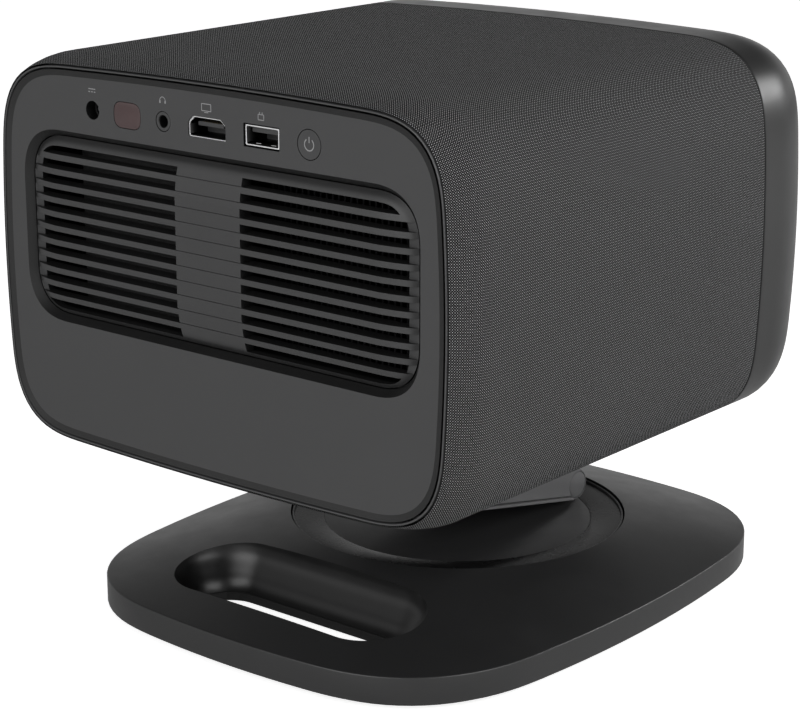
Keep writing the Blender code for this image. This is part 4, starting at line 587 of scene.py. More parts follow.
def weave(name):
    """Plain weave of light and dark yarns, laid out on the sleeve's unrolled surface."""
    made, tree, shader, _ = start_material(name)
    flat = node(tree, "ShaderNodeUVMap", uv_map="unrolled").outputs["UV"]
    sway = map_range(tree, noise(tree, flat, *YARN_DRIFT), *NOISE_SPAN, -THREAD_SWAY, THREAD_SWAY)
    parts = separate(tree, flat)
    odd = []
    sides = []
    for axis, pitch in (("X", THREAD_AROUND), ("Y", THREAD_ALONG)):
        count = math_node(tree, "ADD", math_node(tree, "DIVIDE", parts[axis], pitch), sway)
        odd.append(math_node(tree, "FLOORED_MODULO", math_node(tree, "FLOOR", count), 2.0))
        turn = math_node(tree, "MULTIPLY", math_node(tree, "FRACT", count), math.pi)
        sides.append(math_node(tree, "SINE", turn))
    under = math_node(tree, "ABSOLUTE", math_node(tree, "SUBTRACT", *odd))
    crown = node(tree, "ShaderNodeMix", data_type="FLOAT")
    feed(tree, under, crown.inputs[0])
    for socket, own, other in ((crown.inputs[2], *sides), (crown.inputs[3], *reversed(sides))):
        damped = math_node(tree, "MULTIPLY_ADD", other, *CROWN_SHARES)
        feed(tree, math_node(tree, "MULTIPLY", own, damped), socket)
    height = crown.outputs[0]
    bright = mix_colour(tree, odd[0], grey(BRIGHT_YARN), grey(MIDDLE_YARN))
    yarn = mix_colour(tree, under, bright, grey(DARK_YARN))
    fleck = map_range(tree, noise(tree, flat, *YARN_FLECK), *FLECK_SPAN, 0.0, FLECK_SHARE)
    lively = mix_colour(tree, fleck, yarn, grey(FLECK_LEVEL))
    paint(tree, shader, map_range(tree, height, *OPEN_SPAN, 0.0, 1.0), grey(DARK_YARN), lively)
    emboss(tree, shader, height, THREAD_RELIEF)
    set_values(shader, Roughness=0.85, Specular_IOR_Level=0.12, Sheen_Weight=0.02, Sheen_Roughness=0.40)
    return made


def smoked(name, colour, roughness, coat=1.0):
    """Dark tinted window with a clear polished skin over it."""
    made, tree, shader, spot = start_material(name)
    paint(tree, shader, noise(tree, spot, *WINDOW_DEPTH), *[shaded(colour, share) for share in WINDOW_SHADES])
    polish(tree, shader, noise(tree, spot, *WINDOW_FILM), roughness, WINDOW_SPREAD)
    set_values(shader, Coat_Weight=coat, Coat_Roughness=0.04)
    return made


def glass(name):
    """Coated lens glass."""
    made, tree, shader, spot = start_material(name)
    film = noise(tree, spot, *GLASS_FILM)
    paint(tree, shader, film, (0.84, 0.88, 0.98, 1.0), (0.92, 0.90, 1.0, 1.0))
    polish(tree, shader, film, 0.02, (-0.01, 0.01))
    set_values(shader, Transmission_Weight=1.0, IOR=1.52, Coat_Weight=0.6, Coat_Tint=(0.70, 0.60, 1.0, 1.0))
    return made


def board(name):
    """Circuit board with copper tracks under green lacquer."""
    made, tree, shader, spot = start_material(name)
    tracks = node(tree, "ShaderNodeTexBrick", Vector=spot, Scale=220.0, Color1=(0.010, 0.060, 0.030, 1.0),
                  Color2=(0.014, 0.085, 0.040, 1.0), Mortar=(0.030, 0.130, 0.060, 1.0))
    feed(tree, tracks.outputs["Color"], shader.inputs["Base Color"])
    polish(tree, shader, noise(tree, spot, *BOARD_FILM), 0.30, (0.0, 0.15))
    return made


def make_looks():
    """Levels, roughnesses, and grain sizes and depths in millimetres."""
    # Box round the handle slot, inside which the base's walls get painted shade
    slot_shade_box = ((0.0, SLOT_HALF_LENGTH + MM), (SLOT_CENTRE_Y, SLOT_HALF_WIDTH + MM))
    LOOKS.update({
        "weave": weave("woven_sleeve"),
        # Panel and slats carry painted shade: their slopes and rolled edges, turned from -Y, are painted darker
        "panel": paint_shade_on_turned_faces(plastic("panel_plastic_painted_shade", 0.047, 0.46, 0.30, 0.006), "Y", (0.970, 0.995), 0.003),
        "slats": paint_shade_on_turned_faces(plastic("slat_plastic_painted_shade", 0.039, 0.46, 0.30, 0.006), "Y", (0.84, 0.975), 0.013),
        "lip": plastic("lip_plastic", 0.060, 0.38, 0.30, 0.004),
        "ring": plastic("ring_plastic", 0.009, 0.32, 0.25, 0.003),
        # Base with painted shade on the slot's walls, all faces there that don't face up
        "base": paint_shade_on_turned_faces(plastic("base_plastic_painted_shade", 0.018, 0.36, 0.35, 0.004, specular=0.6), "Z", (0.5, 0.98),
                         0.002, slot_shade_box),
        "disc": plastic("disc_plastic", 0.026, 0.40, 0.30, 0.002),
        "band": plastic("band_plastic", 0.008, 0.26, 0.60, 0.002, specular=0.15),
        "arm": plastic("arm_plastic", 0.120, 0.34, 0.30, 0.003),
        "gloss": plastic("gloss_plastic", 0.005, 0.08, 0.80, 0.001, coat=1.0),
        "black": plastic("black_plastic", 0.006, 0.50, 0.30, 0.008),
        "inner": plastic("inner_plastic", 0.008, 0.55, 0.40, 0.010),
        "housing": plastic("housing_plastic", 0.012, 0.55, 0.40, 0.010),
        "rubber": plastic("foot_rubber", 0.010, 0.75, 0.25, 0.020, specular=0.3),
        "white": plastic("washer_plastic", 0.55, 0.45, 0.40, 0.008),
        "print": plastic("printed_ink", 0.30, 0.50, 0.10, 0.002),
        "cone": plastic("cone_paper", 0.015, 0.80, 0.30, 0.020, specular=0.2),
        "steel": metal("plated_steel", (0.60, 0.60, 0.62), 0.28, 0.20, 0.003, (1.0, 6.0, 1.0)),
        # Socket shells with painted shade on their inner walls, the faces turned from -Y
        "plated": paint_shade_on_turned_faces(metal("plated_socket_painted_shade", (0.95, 0.95, 0.96), 0.34, 0.20, 0.002), "Y", (0.2, 0.7),
                           0.012),
        "tongue": plastic("tongue_plastic", 0.045, 0.45, 0.20, 0.002),
        "dark_steel": metal("dark_steel", (0.10, 0.10, 0.11), 0.42, 0.30, 0.006),
        "fins": metal("fin_aluminium", (0.020, 0.020, 0.021), 0.55, 0.25, 0.006, (1.0, 1.0, 8.0)),
        "aluminium": metal("bare_aluminium", (0.55, 0.56, 0.58), 0.40, 0.25, 0.006, (8.0, 1.0, 1.0)),
        "copper": metal("copper_pipe", (0.72, 0.36, 0.22), 0.30, 0.30, 0.004),
        "gold": metal("gold_contact", (0.85, 0.62, 0.28), 0.25, 0.20, 0.002),
        "receiver": smoked("receiver_window", (0.062, 0.034, 0.034), 0.36, 0.25),
        "sensor": smoked("sensor_window", (0.020, 0.010, 0.016), 0.08),
        "glass": glass("lens_glass"),
        "board": board("circuit_board"),
    })


# Look of each CAD node that no piece of this scene stands for
CARRIED_NODES = {
    "steel": ("spindle", "hinge_pin", "mount_plate", "mount_screw_1", "mount_screw_2", "focus_motor",
              "focus_screw", "cover_screw_1", "cover_screw_2", "cover_screw_3", "cover_screw_4"),
    "dark_steel": ("ballast_plate", "spindle_nut", "hinge_lug"),
    "aluminium": ("deck", "lamp_module"),
    "fins": ("heat_sink",),
    "copper": ("heat_pipe_1", "heat_pipe_2"),
    "inner": ("base_cover", "inner_shell", "blower_wheel", "optical_housing", "lens_tube", "lens_barrel",
              "speaker_case_left", "speaker_case_right"),
    "housing": ("blower_housing",),
    "cone": ("speaker_driver_left", "speaker_driver_right"),
    "black": ("power_switch",),
    "white": ("thrust_washer",),
    "board": ("port_board", "main_board"),
}


def dress_carried_nodes(frame):
    for look, names in CARRIED_NODES.items():
        for name in names:
            data = frame["nodes"][name].data
            data.materials.clear()
            data.materials.append(LOOKS[look])
            data.shade_smooth()
            data.set_sharp_from_angle(angle=SMOOTH_ANGLE)


# Base plate and turntable

RIM_CHAMFER = 0.55 * MM
RIM_STEPS = 4
DOME_STEPS = 20
BRINK_INSET = 0.5 * MM
POCKET_ROOF = 2.6 * MM
SLOT_STEPS = 40
SLOT_MARGIN = 3.0 * MM
SLOT_BLOCK_TOP_Z = 13.2 * MM
SLOT_COLLAR_Z = 0.3 * MM
SLOT_COLLAR_LAP = 1.0 * MM
OVERRUN = 4.0 * MM
SPINDLE_HOLE_RADIUS = 9.3 * MM
BASE_BEVEL = 0.35 * MM
MAT_INSET = 5.0 * MM
MAT_SLOT_INSET = 4.8 * MM
MAT_THICKNESS = 0.9 * MM
SMALL_BEVEL = 0.2 * MM
SCREW_HOLE_RADIUS = 3.1 * MM
SCREW_X = 62.0 * MM
SCREW_ROWS_Y = (-78.0 * MM, 56.0 * MM)

# Profiles in millimetres: insets and rises, heights and insets, then radii and heights
SKIRT_EDGE = ((0.4, 0.0), (0.1, 0.15), (0.0, 0.5))
SLOT_ROLL = ((26.0, 0.0), (20.5, 0.0), (17.5, 0.15), (14.0, 1.0), (10.0, 3.3), (7.0, 5.2), (4.0, 6.3),
             (0.0, 6.7), (-1.0, 6.75))
PLATTER_PROFILE = ((9.3, 14.6), (58.3, 14.6), (58.3, 20.8), (57.6, 20.8), (57.6, 16.6), (9.3, 16.6))
BAND_PROFILE = ((46.95, 16.9), (57.56, 16.9), (57.56, 20.1), (46.95, 19.5))
DISC_PROFILE = ((0.0, 19.4), (46.9, 19.4), (46.9, 16.9), (17.3, 16.9), (17.3, 18.2), (0.0, 18.2))
LUG_WINDOW = ((-10.6, 30.3), (10.6, 30.3), (10.6, 44.9), (-10.6, 44.9))
LUG_WINDOW_SPAN = (12.0 * MM, 24.0 * MM)


def dome_height(share):
    return BASE_RIM_Z + (BASE_TOP_Z - BASE_RIM_Z) * (1.0 - (1.0 - share) ** DOME_POWER)


def towards_circle(points, radius, share):
    moved = []
    for x, y in points:
        length = math.hypot(x, y)
        moved.append((x + (x * radius / length - x) * share, y + (y * radius / length - y) * share))
    return moved


def slot_ring(inset):
    outline = stadium(SLOT_HALF_LENGTH - inset, SLOT_HALF_WIDTH - inset, SLOT_STEPS)
    return [(x, y + SLOT_CENTRE_Y) for x, y in outline]


def build_base():
    rim = base_outline(RIM_CHAMFER)
    rings = [level_ring(towards_circle(rim, POCKET_RADIUS, 1.0), POCKET_FLOOR_Z - POCKET_ROOF)]
    rings += [level_ring(base_outline(BASE_WALL), z) for z in (BASE_ROOF_Z, BASE_SKIRT_Z)]
    rings += [level_ring(base_outline(inset * MM), BASE_SKIRT_Z + rise * MM) for inset, rise in SKIRT_EDGE]
    for step in range(RIM_STEPS):
        turn = 0.5 * math.pi * step / RIM_STEPS
        rings.append(level_ring(base_outline(RIM_CHAMFER * (1 - math.cos(turn))),
                                BASE_RIM_Z - RIM_CHAMFER * (1 - math.sin(turn))))
    for step in range(DOME_STEPS + 1):
        share = step / DOME_STEPS
        rings.append(level_ring(towards_circle(rim, POCKET_RADIUS - BRINK_INSET, share), dome_height(share)))
    block = prism(slot_ring(-SLOT_MARGIN), SLOT_BLOCK_Z, SLOT_BLOCK_TOP_Z)
    collar = prism(slot_ring(SLOT_COLLAR_INSET), SLOT_COLLAR_Z, SLOT_BLOCK_Z + SLOT_COLLAR_LAP)
    funnel = strip([level_ring(slot_ring(inset * MM), z * MM) for z, inset in smooth_path(SLOT_ROLL, 5)], False)
    pocket = cylinder(POCKET_RADIUS, POCKET_FLOOR_Z, BASE_TOP_Z + OVERRUN, steps=ROUND_STEPS)
    hole = cylinder(SPINDLE_HOLE_RADIUS, -OVERRUN, BASE_TOP_Z)
    mesh = cut(join(strip(rings, False), block, collar), funnel, pocket, hole)
    place("base_shell", mesh, "base", "base_body", "base", bevel=BASE_BEVEL)
    holes = [cylinder(SCREW_HOLE_RADIUS, -OVERRUN, OVERRUN, "Z", (side * SCREW_X, y, 0.0))
             for side in (-1, 1) for y in SCREW_ROWS_Y]
    passage = prism(slot_ring(MAT_SLOT_INSET), -OVERRUN, OVERRUN)
    mat = cut(prism(base_outline(MAT_INSET), 0.0, MAT_THICKNESS), passage, *holes)
    place("foot_sheet", mat, "rubber", "foot_mat", "base", bevel=SMALL_BEVEL)


def build_turntable():
    platter = turned(soft_corners(PLATTER_PROFILE, 0.2), steps=ROUND_STEPS)
    place("platter_shell", platter, "disc", "turntable_platter", "turntable")
    band = turned(soft_corners(BAND_PROFILE, 0.12), steps=ROUND_STEPS)
    place("bevel_band", band, "band", "turntable_bevel_ring", "turntable")
    window = prism([(x * MM, y * MM) for x, y in LUG_WINDOW], *LUG_WINDOW_SPAN)
    disc = cut(turned(soft_corners(DISC_PROFILE, 0.12), steps=ROUND_STEPS), window)
    place("centre_disc", disc, "disc", "turntable_disc", "turntable")


# Tilting arm

UNDER_ANGLE = math.radians(11.5)
FRONT_ANGLE = math.radians(41)
BARREL_RADIUS = 5.2 * MM
BARREL_STEPS = 32
ARM_BACK_Y = -40.0 * MM
ARM_HALF_WIDTH = 23.7 * MM
ARM_BEVEL = 0.4 * MM
FLANGE_THICKNESS = 0.9 * MM
FLANGE_START = 3.0 * MM
FLANGE_HALF_WIDTH = 25.3 * MM
FIT = 0.3 * MM
TILT_CENTRE = (0.0, TILT_Y, TILT_Z)
NOTCH_RADIUS = 8.0 * MM
NOTCH_HALF_WIDTH = 10.6 * MM
PIN_BORE_RADIUS = 2.1 * MM
PIN_BORE_REACH = 28.0 * MM
CAP_POCKET_RADIUS = 4.9 * MM
CAP_POCKET_FLOOR = 22.4 * MM
CAP_PROFILE = ((0.0, 22.7), (4.7, 22.7), (4.7, 23.7), (0.0, 23.7))
MOUNT_HOLE_RADIUS = 1.8 * MM
MOUNT_HOLE_DEPTH = 7.3 * MM
MOUNT_HOLE_X = 15.0 * MM
MOUNT_HOLE_Y = -16.0 * MM


def under_point(along, lift):
    sine = math.sin(UNDER_ANGLE)
    cosine = math.cos(UNDER_ANGLE)
    return (TILT_Y - BARREL_RADIUS * sine - along * cosine + lift * sine,
            TILT_Z - BARREL_RADIUS * cosine + along * sine + lift * cosine)


def back_point(lift):
    along = (TILT_Y - BARREL_RADIUS * math.sin(UNDER_ANGLE) - ARM_BACK_Y) / math.cos(UNDER_ANGLE)
    return under_point(along, lift)


def side_prism(points, half_width):
    return strip([[Vector((x, y, z)) for y, z in points] for x in (-half_width, half_width)], False)


def tilt_bore(radius, low, high):
    return cylinder(radius, low, high, "X", TILT_CENTRE)


def build_arm():
    lift = FLANGE_THICKNESS + FIT
    top = BODY_CENTRE_Z - BODY_HALF_HEIGHT - FIT
    points = [back_point(lift), under_point(FLANGE_START, lift), under_point(FLANGE_START, 0.0)]
    points += arc(BARREL_RADIUS, -0.5 * math.pi - UNDER_ANGLE, 0.5 * math.pi - FRONT_ANGLE, BARREL_STEPS,
                  (TILT_Y, TILT_Z))
    last_y, last_z = points[-1]
    points.append((last_y - (top - last_z) / math.tan(FRONT_ANGLE), top))
    points.append((back_point(lift)[0], top))
    cutters = [tilt_bore(NOTCH_RADIUS, -NOTCH_HALF_WIDTH, NOTCH_HALF_WIDTH),
               tilt_bore(PIN_BORE_RADIUS, -PIN_BORE_REACH, PIN_BORE_REACH),
               tilt_bore(CAP_POCKET_RADIUS, CAP_POCKET_FLOOR, PIN_BORE_REACH),
               tilt_bore(CAP_POCKET_RADIUS, -PIN_BORE_REACH, -CAP_POCKET_FLOOR)]
    cutters += [cylinder(MOUNT_HOLE_RADIUS, top - MOUNT_HOLE_DEPTH, top + OVERRUN, "Z",
                         (side * MOUNT_HOLE_X, MOUNT_HOLE_Y, 0.0)) for side in (-1, 1)]
    arm = cut(side_prism(points, ARM_HALF_WIDTH), *cutters)
    place("arm_shell", arm, "arm", "tilt_arm", bevel=ARM_BEVEL)
    points = [under_point(FLANGE_START + FIT, 0.0), under_point(FLANGE_START + FIT, FLANGE_THICKNESS),
              back_point(FLANGE_THICKNESS), back_point(0.0)]
    notch = tilt_bore(NOTCH_RADIUS, -NOTCH_HALF_WIDTH, NOTCH_HALF_WIDTH)
    flange = cut(side_prism(points, FLANGE_HALF_WIDTH), notch)
    place("flange_strip", flange, "arm", "arm_flange", bevel=SMALL_BEVEL)
    for name, turn in (("left", math.pi), ("right", 0.0)):
        cap = turned(soft_corners(CAP_PROFILE, 0.2), "X")
        cap.transform(Matrix.Translation(TILT_CENTRE) @ Matrix.Rotation(turn, 4, "Z"))
        place("pivot_cap_" + name, cap, "arm", "hinge_cap_" + name)


# Skin of the body

SLEEVE_RING_SHARES = (0.2, 0.4, 0.6, 0.8, 0.995)
SLEEVE_FRONT_INSETS = (0.25 * MM, SLEEVE_THICKNESS)
SHELL_STEPS = 4
LIP_PROFILE = ((3.75, 6.0), (3.75, -0.35), (3.84, -0.53), (4.05, -0.60), (4.26, -0.53), (4.35, -0.35),
               (4.35, 4.2), (7.2, 4.2), (7.2, 6.0))


def sweep(outline, profile, closed=True, up=0.0, x=0.0):
    """Walls through an outline at the insets and depths of a profile in millimetres."""
    return strip([upright_ring(outline(inset), depth * MM, up, x) for inset, depth in profile], closed)


def back_outline(inset):
    return body_outline(inset * MM, 1.0)


def front_outline(inset):
    return body_outline(inset * MM)


def taper_share(depth):
    """Share of the taper at the back that is left at a depth: one at the lip, none past its end."""
    left = (SLEEVE_TAPER_DEPTH - depth) / (SLEEVE_TAPER_DEPTH - SLEEVE_EDGE_DEPTH)
    return min(1.0, max(0.0, left)) ** 2


def taper_ring(depth, inset):
    share = taper_share(depth)
    tapered = min(SLEEVE_EDGE_INSET * share + inset, max(SLEEVE_EDGE_INSET, inset))
    return upright_ring(body_outline(tapered, share), depth)


def build_sleeve():
    run = SLEEVE_TAPER_DEPTH - SLEEVE_EDGE_DEPTH
    depths = [SLEEVE_EDGE_DEPTH + run * step / SLEEVE_TAPER_STEPS for step in range(SLEEVE_TAPER_STEPS + 1)]
    length = SLEEVE_FRONT_DEPTH - SLEEVE_TAPER_DEPTH
    rings = [taper_ring(depth, 0.0) for depth in depths]
    rings += [upright_ring(body_outline(0.0), SLEEVE_TAPER_DEPTH + length * share)
              for share in SLEEVE_RING_SHARES]
    rings += [upright_ring(body_outline(inset), SLEEVE_FRONT_DEPTH) for inset in SLEEVE_FRONT_INSETS]
    rings += [taper_ring(depth, SLEEVE_THICKNESS) for depth in reversed(depths[1:])]
    mesh = strip(rings, True)
    unroll(mesh, rings)
    place("sleeve_cloth", mesh, "weave", "fabric_sleeve")


def build_shell():
    """Inner shell that follows the taper of the sleeve, with the sound hole through both sides."""
    run = SLEEVE_TAPER_DEPTH - SHELL_BACK_DEPTH
    depths = [SHELL_BACK_DEPTH + run * step / SHELL_STEPS for step in range(SHELL_STEPS + 1)]
    depths.append(SLEEVE_FRONT_DEPTH)
    outer = SLEEVE_THICKNESS + FIT
    rings = [taper_ring(depth, outer) for depth in depths]
    rings += [taper_ring(depth, outer + SHELL_THICKNESS) for depth in reversed(depths)]
    low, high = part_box("speaker_driver_right")
    hole = cylinder(SOUND_HOLE_RADIUS, -BODY_HALF_WIDTH, BODY_HALF_WIDTH, "X",
                    (0.0, 0.5 * (low[1] + high[1]), 0.5 * (low[2] + high[2])))
    place("shell_body", cut(strip(rings, True), hole), "inner", "inner_shell")


def running_lengths(points):
    lengths = [0.0]
    for here, after in zip(points, points[1:]):
        lengths.append(lengths[-1] + (after - here).length)
    return lengths


def unroll(mesh, rings):
    """Unrolled lengths in metres as UVs, with a whole number of thread pairs round the outline."""
    outline = rings[SLEEVE_TAPER_STEPS + 1]
    around = running_lengths(outline + outline[:1])
    pair = 2 * THREAD_AROUND
    fit = round(around[-1] / pair) * pair / around[-1]
    runs = running_lengths([ring[0] for ring in rings])
    spans = list(zip(runs, runs[1:])) + [(-SLEEVE_THICKNESS, 0.0)]
    layer = mesh.loops.layers.uv.new("unrolled")
    for number, face in enumerate(mesh.faces):
        row, column = divmod(number, len(outline))
        low, high = spans[row]
        left, right = (length * fit for length in around[column:column + 2])
        for loop, spot in zip(face.loops, ((left, low), (right, low), (right, high), (left, high))):
            loop[layer].uv = spot


def build_back_lip():
    place("lip_rim", sweep(back_outline, LIP_PROFILE), "lip", "back_lip")


# Back panel

DATA_HALF_WIDTH = 6.7
DATA_HALF_HEIGHT = 3.1
WINDOW_HALF_WIDTH = 5.7
WINDOW_HALF_HEIGHT = 4.0
WINDOW_CORNER = 3.6
SENSOR_HALF_WIDTH = 11.0
SENSOR_HALF_HEIGHT = 4.2
VIDEO_CORNERS = ((-7.3, -2.8), (7.3, -2.8), (7.3, 1.0), (5.3, 2.8), (-5.3, 2.8), (-7.3, 1.0))
PANEL_EDGE = ((4.9, 3.7), (4.9, -0.55), (6.8, 0.0))
PANEL_BEVEL = 0.09 * MM
CRISP_ANGLE = math.radians(12)
TUNNEL_START_DEPTH = 1.4 * MM
SOCKET_GAP = 0.4
WINDOW_GAP = 0.15
INLET_HOLE_RADIUS = 2.95 * MM
JACK_HOLE_RADIUS = 3.15 * MM
BUTTON_HOLE_RADIUS = 4.6 * MM


def video_outline(grow):
    corners = [((x + math.copysign(grow, x)) * MM, (z + math.copysign(grow, z)) * MM) for x, z in VIDEO_CORNERS]
    return rounded_polygon(corners, 0.5 * MM)


def data_outline(grow):
    return rounded_rectangle((DATA_HALF_WIDTH + grow) * MM, (DATA_HALF_HEIGHT + grow) * MM, 0.35 * MM)


def window_outline(grow):
    half_x, half_y, corner = ((size + grow) * MM
                              for size in (WINDOW_HALF_WIDTH, WINDOW_HALF_HEIGHT, WINDOW_CORNER))
    return squircle(half_x, half_y, (corner, corner), VENT_EXPONENT, corner_steps=12, side_steps=3)


def port_point(x):
    return (x, BACK_Y, BODY_CENTRE_Z + PORT_UP)


def build_back_panel():
    near = -OVERRUN
    far = PANEL_THICKNESS + OVERRUN
    mouth = vent_outline(0.0)
    wall = vent_outline(VENT_FUNNEL_WIDTH)
    recess = strip([upright_ring(mouth, near, VENT_UP), upright_ring(mouth, 0.0, VENT_UP),
                    upright_ring(wall, VENT_FUNNEL_DEPTH, VENT_UP),
                    upright_ring(wall, VENT_LEDGE_DEPTH, VENT_UP)], False)
    ledge = vent_outline(VENT_FUNNEL_WIDTH + VENT_LEDGE_WIDTH)
    cuts = [recess, upright_prism(ledge, near, VENT_DEPTH + OVERRUN, VENT_UP)]
    for outline, x in ((window_outline(WINDOW_GAP), WINDOW_X), (video_outline(SOCKET_GAP), VIDEO_X),
                       (data_outline(SOCKET_GAP), DATA_X)):
        cuts.append(upright_prism(outline, near, far, PORT_UP, x))
    for radius, x in ((INLET_HOLE_RADIUS, DC_X), (JACK_HOLE_RADIUS, JACK_X), (BUTTON_HOLE_RADIUS, BUTTON_X)):
        cuts.append(cylinder(radius, near, far, "Y", port_point(x)))
    plate = sweep(back_outline, PANEL_EDGE, False)
    tunnel = upright_prism(vent_outline(-VENT_WALL), TUNNEL_START_DEPTH, VENT_DEPTH, VENT_UP)
    place("panel_plate", cut(join(plate, tunnel), *cuts), "panel", "back_panel", bevel=PANEL_BEVEL, segments=2,
          crease=CRISP_ANGLE)


# Vent insert

INSERT_ROLL = ((0.0, 2.4), (1.44, 1.44), (2.64, 0.93), (4.08, 0.54), (7.2, -0.16), (12.0, -0.8))
GROOVE_WIDTH = 0.22 * MM
GROOVE_DEPTH = 0.40 * MM
OPENING_STEPS = 12


def roll_depth(inset):
    """Depth of the insert's face at a distance in from its edge."""
    for (near, high), (far, low) in zip(INSERT_ROLL, INSERT_ROLL[1:]):
        if inset <= far * MM:
            return (high + (low - high) * (inset / MM - near) / (far - near)) * MM
    return INSERT_ROLL[-1][1] * MM


def opening_rows():
    """Lowest and highest place of each row of openings, from the top row down."""
    slats = [FIRST_SLAT_TOP - index * SLAT_PITCH for index in range(SLAT_COUNT)]
    highs = [OPENING_TOP] + [slat - SLAT_HEIGHT for slat in slats]
    return list(zip(slats + [OPENING_BOTTOM], highs))


def opening_reach(z):
    """Half width of the openings' common outline at a height."""
    half = 0.5 * (OPENING_TOP - OPENING_BOTTOM)
    above = abs(z - 0.5 * (OPENING_TOP + OPENING_BOTTOM)) - half + OPENING_CORNER
    share = min(max(above / OPENING_CORNER, 0.0), 1.0)
    along = (1.0 - share ** VENT_EXPONENT) ** (1.0 / VENT_EXPONENT)
    return OPENING_HALF_WIDTH - OPENING_CORNER * (1.0 - along)


def opening_polygon(side, low, high):
    points = [(COLUMN_HALF_WIDTH, high), (COLUMN_HALF_WIDTH, low)]
    for step in range(OPENING_STEPS + 1):
        z = low + (high - low) * step / OPENING_STEPS
        points.append((opening_reach(z), z))
    return [(side * x, z) for x, z in points]


def rectangle(left, right, low, high):
    return [(left, low), (right, low), (right, high), (left, high)]


def merged(meshes):
    """One mesh out of several that don't touch."""
    whole = bmesh.new()
    for mesh in meshes:
        data = mesh_data(mesh)
        whole.from_mesh(data)
        bpy.data.meshes.remove(data)
    return whole


def build_vent_insert():
    rings = [upright_ring(vent_outline(INSERT_INSET), INSERT_BACK_DEPTH, VENT_UP)]
    for inset, depth in smooth_path(INSERT_ROLL, 4):
        rings.append(upright_ring(vent_outline(INSERT_INSET + inset * MM), depth * MM, VENT_UP))
    rows = opening_rows()
    fronts = []
    holes = []
    for side in (-1, 1):
        for low, high in rows:
            holes.append(upright_prism(opening_polygon(side, low, high), -OVERRUN, VENT_DEPTH, VENT_UP))
        for low, high in rows[1:-1]:
            end = rectangle(side * COLUMN_HALF_WIDTH, side * (VENT_HALF_WIDTH + OVERRUN), low, high)
            fronts.append(upright_prism(end, -OVERRUN, INSERT_ROLL[0][1] * MM, VENT_UP))
    grooves = []
    reach = COLUMN_HALF_WIDTH + GROOVE_WIDTH
    for slat, _ in rows[:-1]:
        floor = roll_depth(VENT_HALF_HEIGHT - INSERT_INSET - abs(slat)) + GROOVE_DEPTH
        line = rectangle(-reach, reach, slat, slat + GROOVE_WIDTH)
        grooves.append(upright_prism(line, -OVERRUN, floor, VENT_UP))
    mesh = cut(strip(rings, False), merged(fronts), merged(holes), merged(grooves))
    place("slat_insert", mesh, "slats", "vent_insert")


# Sockets, window and button, with profiles of radii or insets and depths in millimetres

INLET_PROFILE = ((0.0, 3.0), (0.8, 3.0), (0.8, 13.0), (2.7, 13.0), (2.7, 4.0), (4.4, 4.0), (4.4, 14.0),
                 (0.0, 14.0))
PIN_PROFILE = ((0.0, 2.9), (0.82, 2.9), (0.82, 12.0), (0.0, 12.0))
JACK_PROFILE = ((0.0, 13.0), (1.8, 13.0), (1.8, 0.25), (2.0, 0.05), (3.0, 0.05), (3.0, 4.0), (4.4, 4.0),
                (4.4, 14.0), (0.0, 14.0))
BUTTON_PROFILE = ((0.0, 0.12), (2.6, 0.08), (4.0, 0.0), (4.4, 0.0), (4.4, 4.0), (5.4, 4.0), (5.4, 4.9),
                  (1.5, 4.9), (1.5, 6.1), (0.0, 6.1))
WINDOW_PROFILE = ((-0.2, -0.02), (-0.06, 0.02), (0.0, 0.14), (0.0, 4.0), (1.2, 4.0), (1.2, 5.2))
SOCKET_EDGE = ((0.0, 0.55), (-0.08, 0.42), (-0.25, 0.38), (-0.42, 0.42), (-0.5, 0.55))
TONGUE_HALF_WIDTH = 5.2
TONGUE_BACK_DEPTH = 1.9
TONGUE_BEVEL = 0.1 * MM
ROOT_INSET = -0.6
SPRING_BEVEL = 0.08 * MM

# Depths of shell and tongue, heights of the tongue, and depths of its root
VIDEO_SIZES = (11.8, 11.0, (0.2, 1.4), (8.0, 10.8))
DATA_SIZES = (13.8, 12.6, (0.8, 2.45), (9.0, 12.5))

# Half width, depths and heights of a contact or spring, and the steps between two
VIDEO_CONTACT = (0.2, (2.3, 7.9))
CONTACT_RISE = 0.04
VIDEO_CONTACTS = 9
VIDEO_CONTACT_OFFSET = 0.25
DATA_CONTACT = (0.5, (2.4, 8.9), (0.74, 0.82))
DATA_CONTACTS = 4
DATA_CONTACT_PITCH = 2.3
DATA_SPRING = (1.0, (2.0, 7.5), (-2.62, -2.38))
DATA_SPRING_X = 3.0


def round_port(profile, radius, x, steps=3):
    return turned(soft_corners(profile, radius, steps), "Y", port_point(x))


def build_round_ports():
    place("dc_inlet_cup", round_port(INLET_PROFILE, 0.2, DC_X), "black", "dc_inlet")
    place("dc_inlet_pin", round_port(PIN_PROFILE, 0.3, DC_X), "steel", "dc_inlet", added=True)
    place("jack_sleeve", round_port(JACK_PROFILE, 0.18, JACK_X), "panel", "audio_jack")


def build_flat_socket(name, outline, x, depth, tongue_depth, heights, root_depths):
    """Metal shell with a rolled edge round a bevelled plastic tongue on a root. Sizes in millimetres."""
    shell = sweep(outline, ((0.0, depth), *SOCKET_EDGE, (SOCKET_EDGE[-1][0], depth)), True, PORT_UP, x)
    place(name + "_shell", shell, "plated", name + "_socket")
    section = rectangle(-TONGUE_HALF_WIDTH, TONGUE_HALF_WIDTH, *heights)
    blade = upright_prism([(across * MM, up * MM) for across, up in section], TONGUE_BACK_DEPTH * MM,
                          tongue_depth * MM, PORT_UP, x)
    bmesh.ops.bevel(blade, geom=blade.edges[:], offset=TONGUE_BEVEL, segments=2, profile=0.7, affect="EDGES")
    root = upright_prism(outline(ROOT_INSET), root_depths[0] * MM, root_depths[1] * MM, PORT_UP, x)
    place(name + "_blade", join(blade, root), "tongue", name + "_tongue")


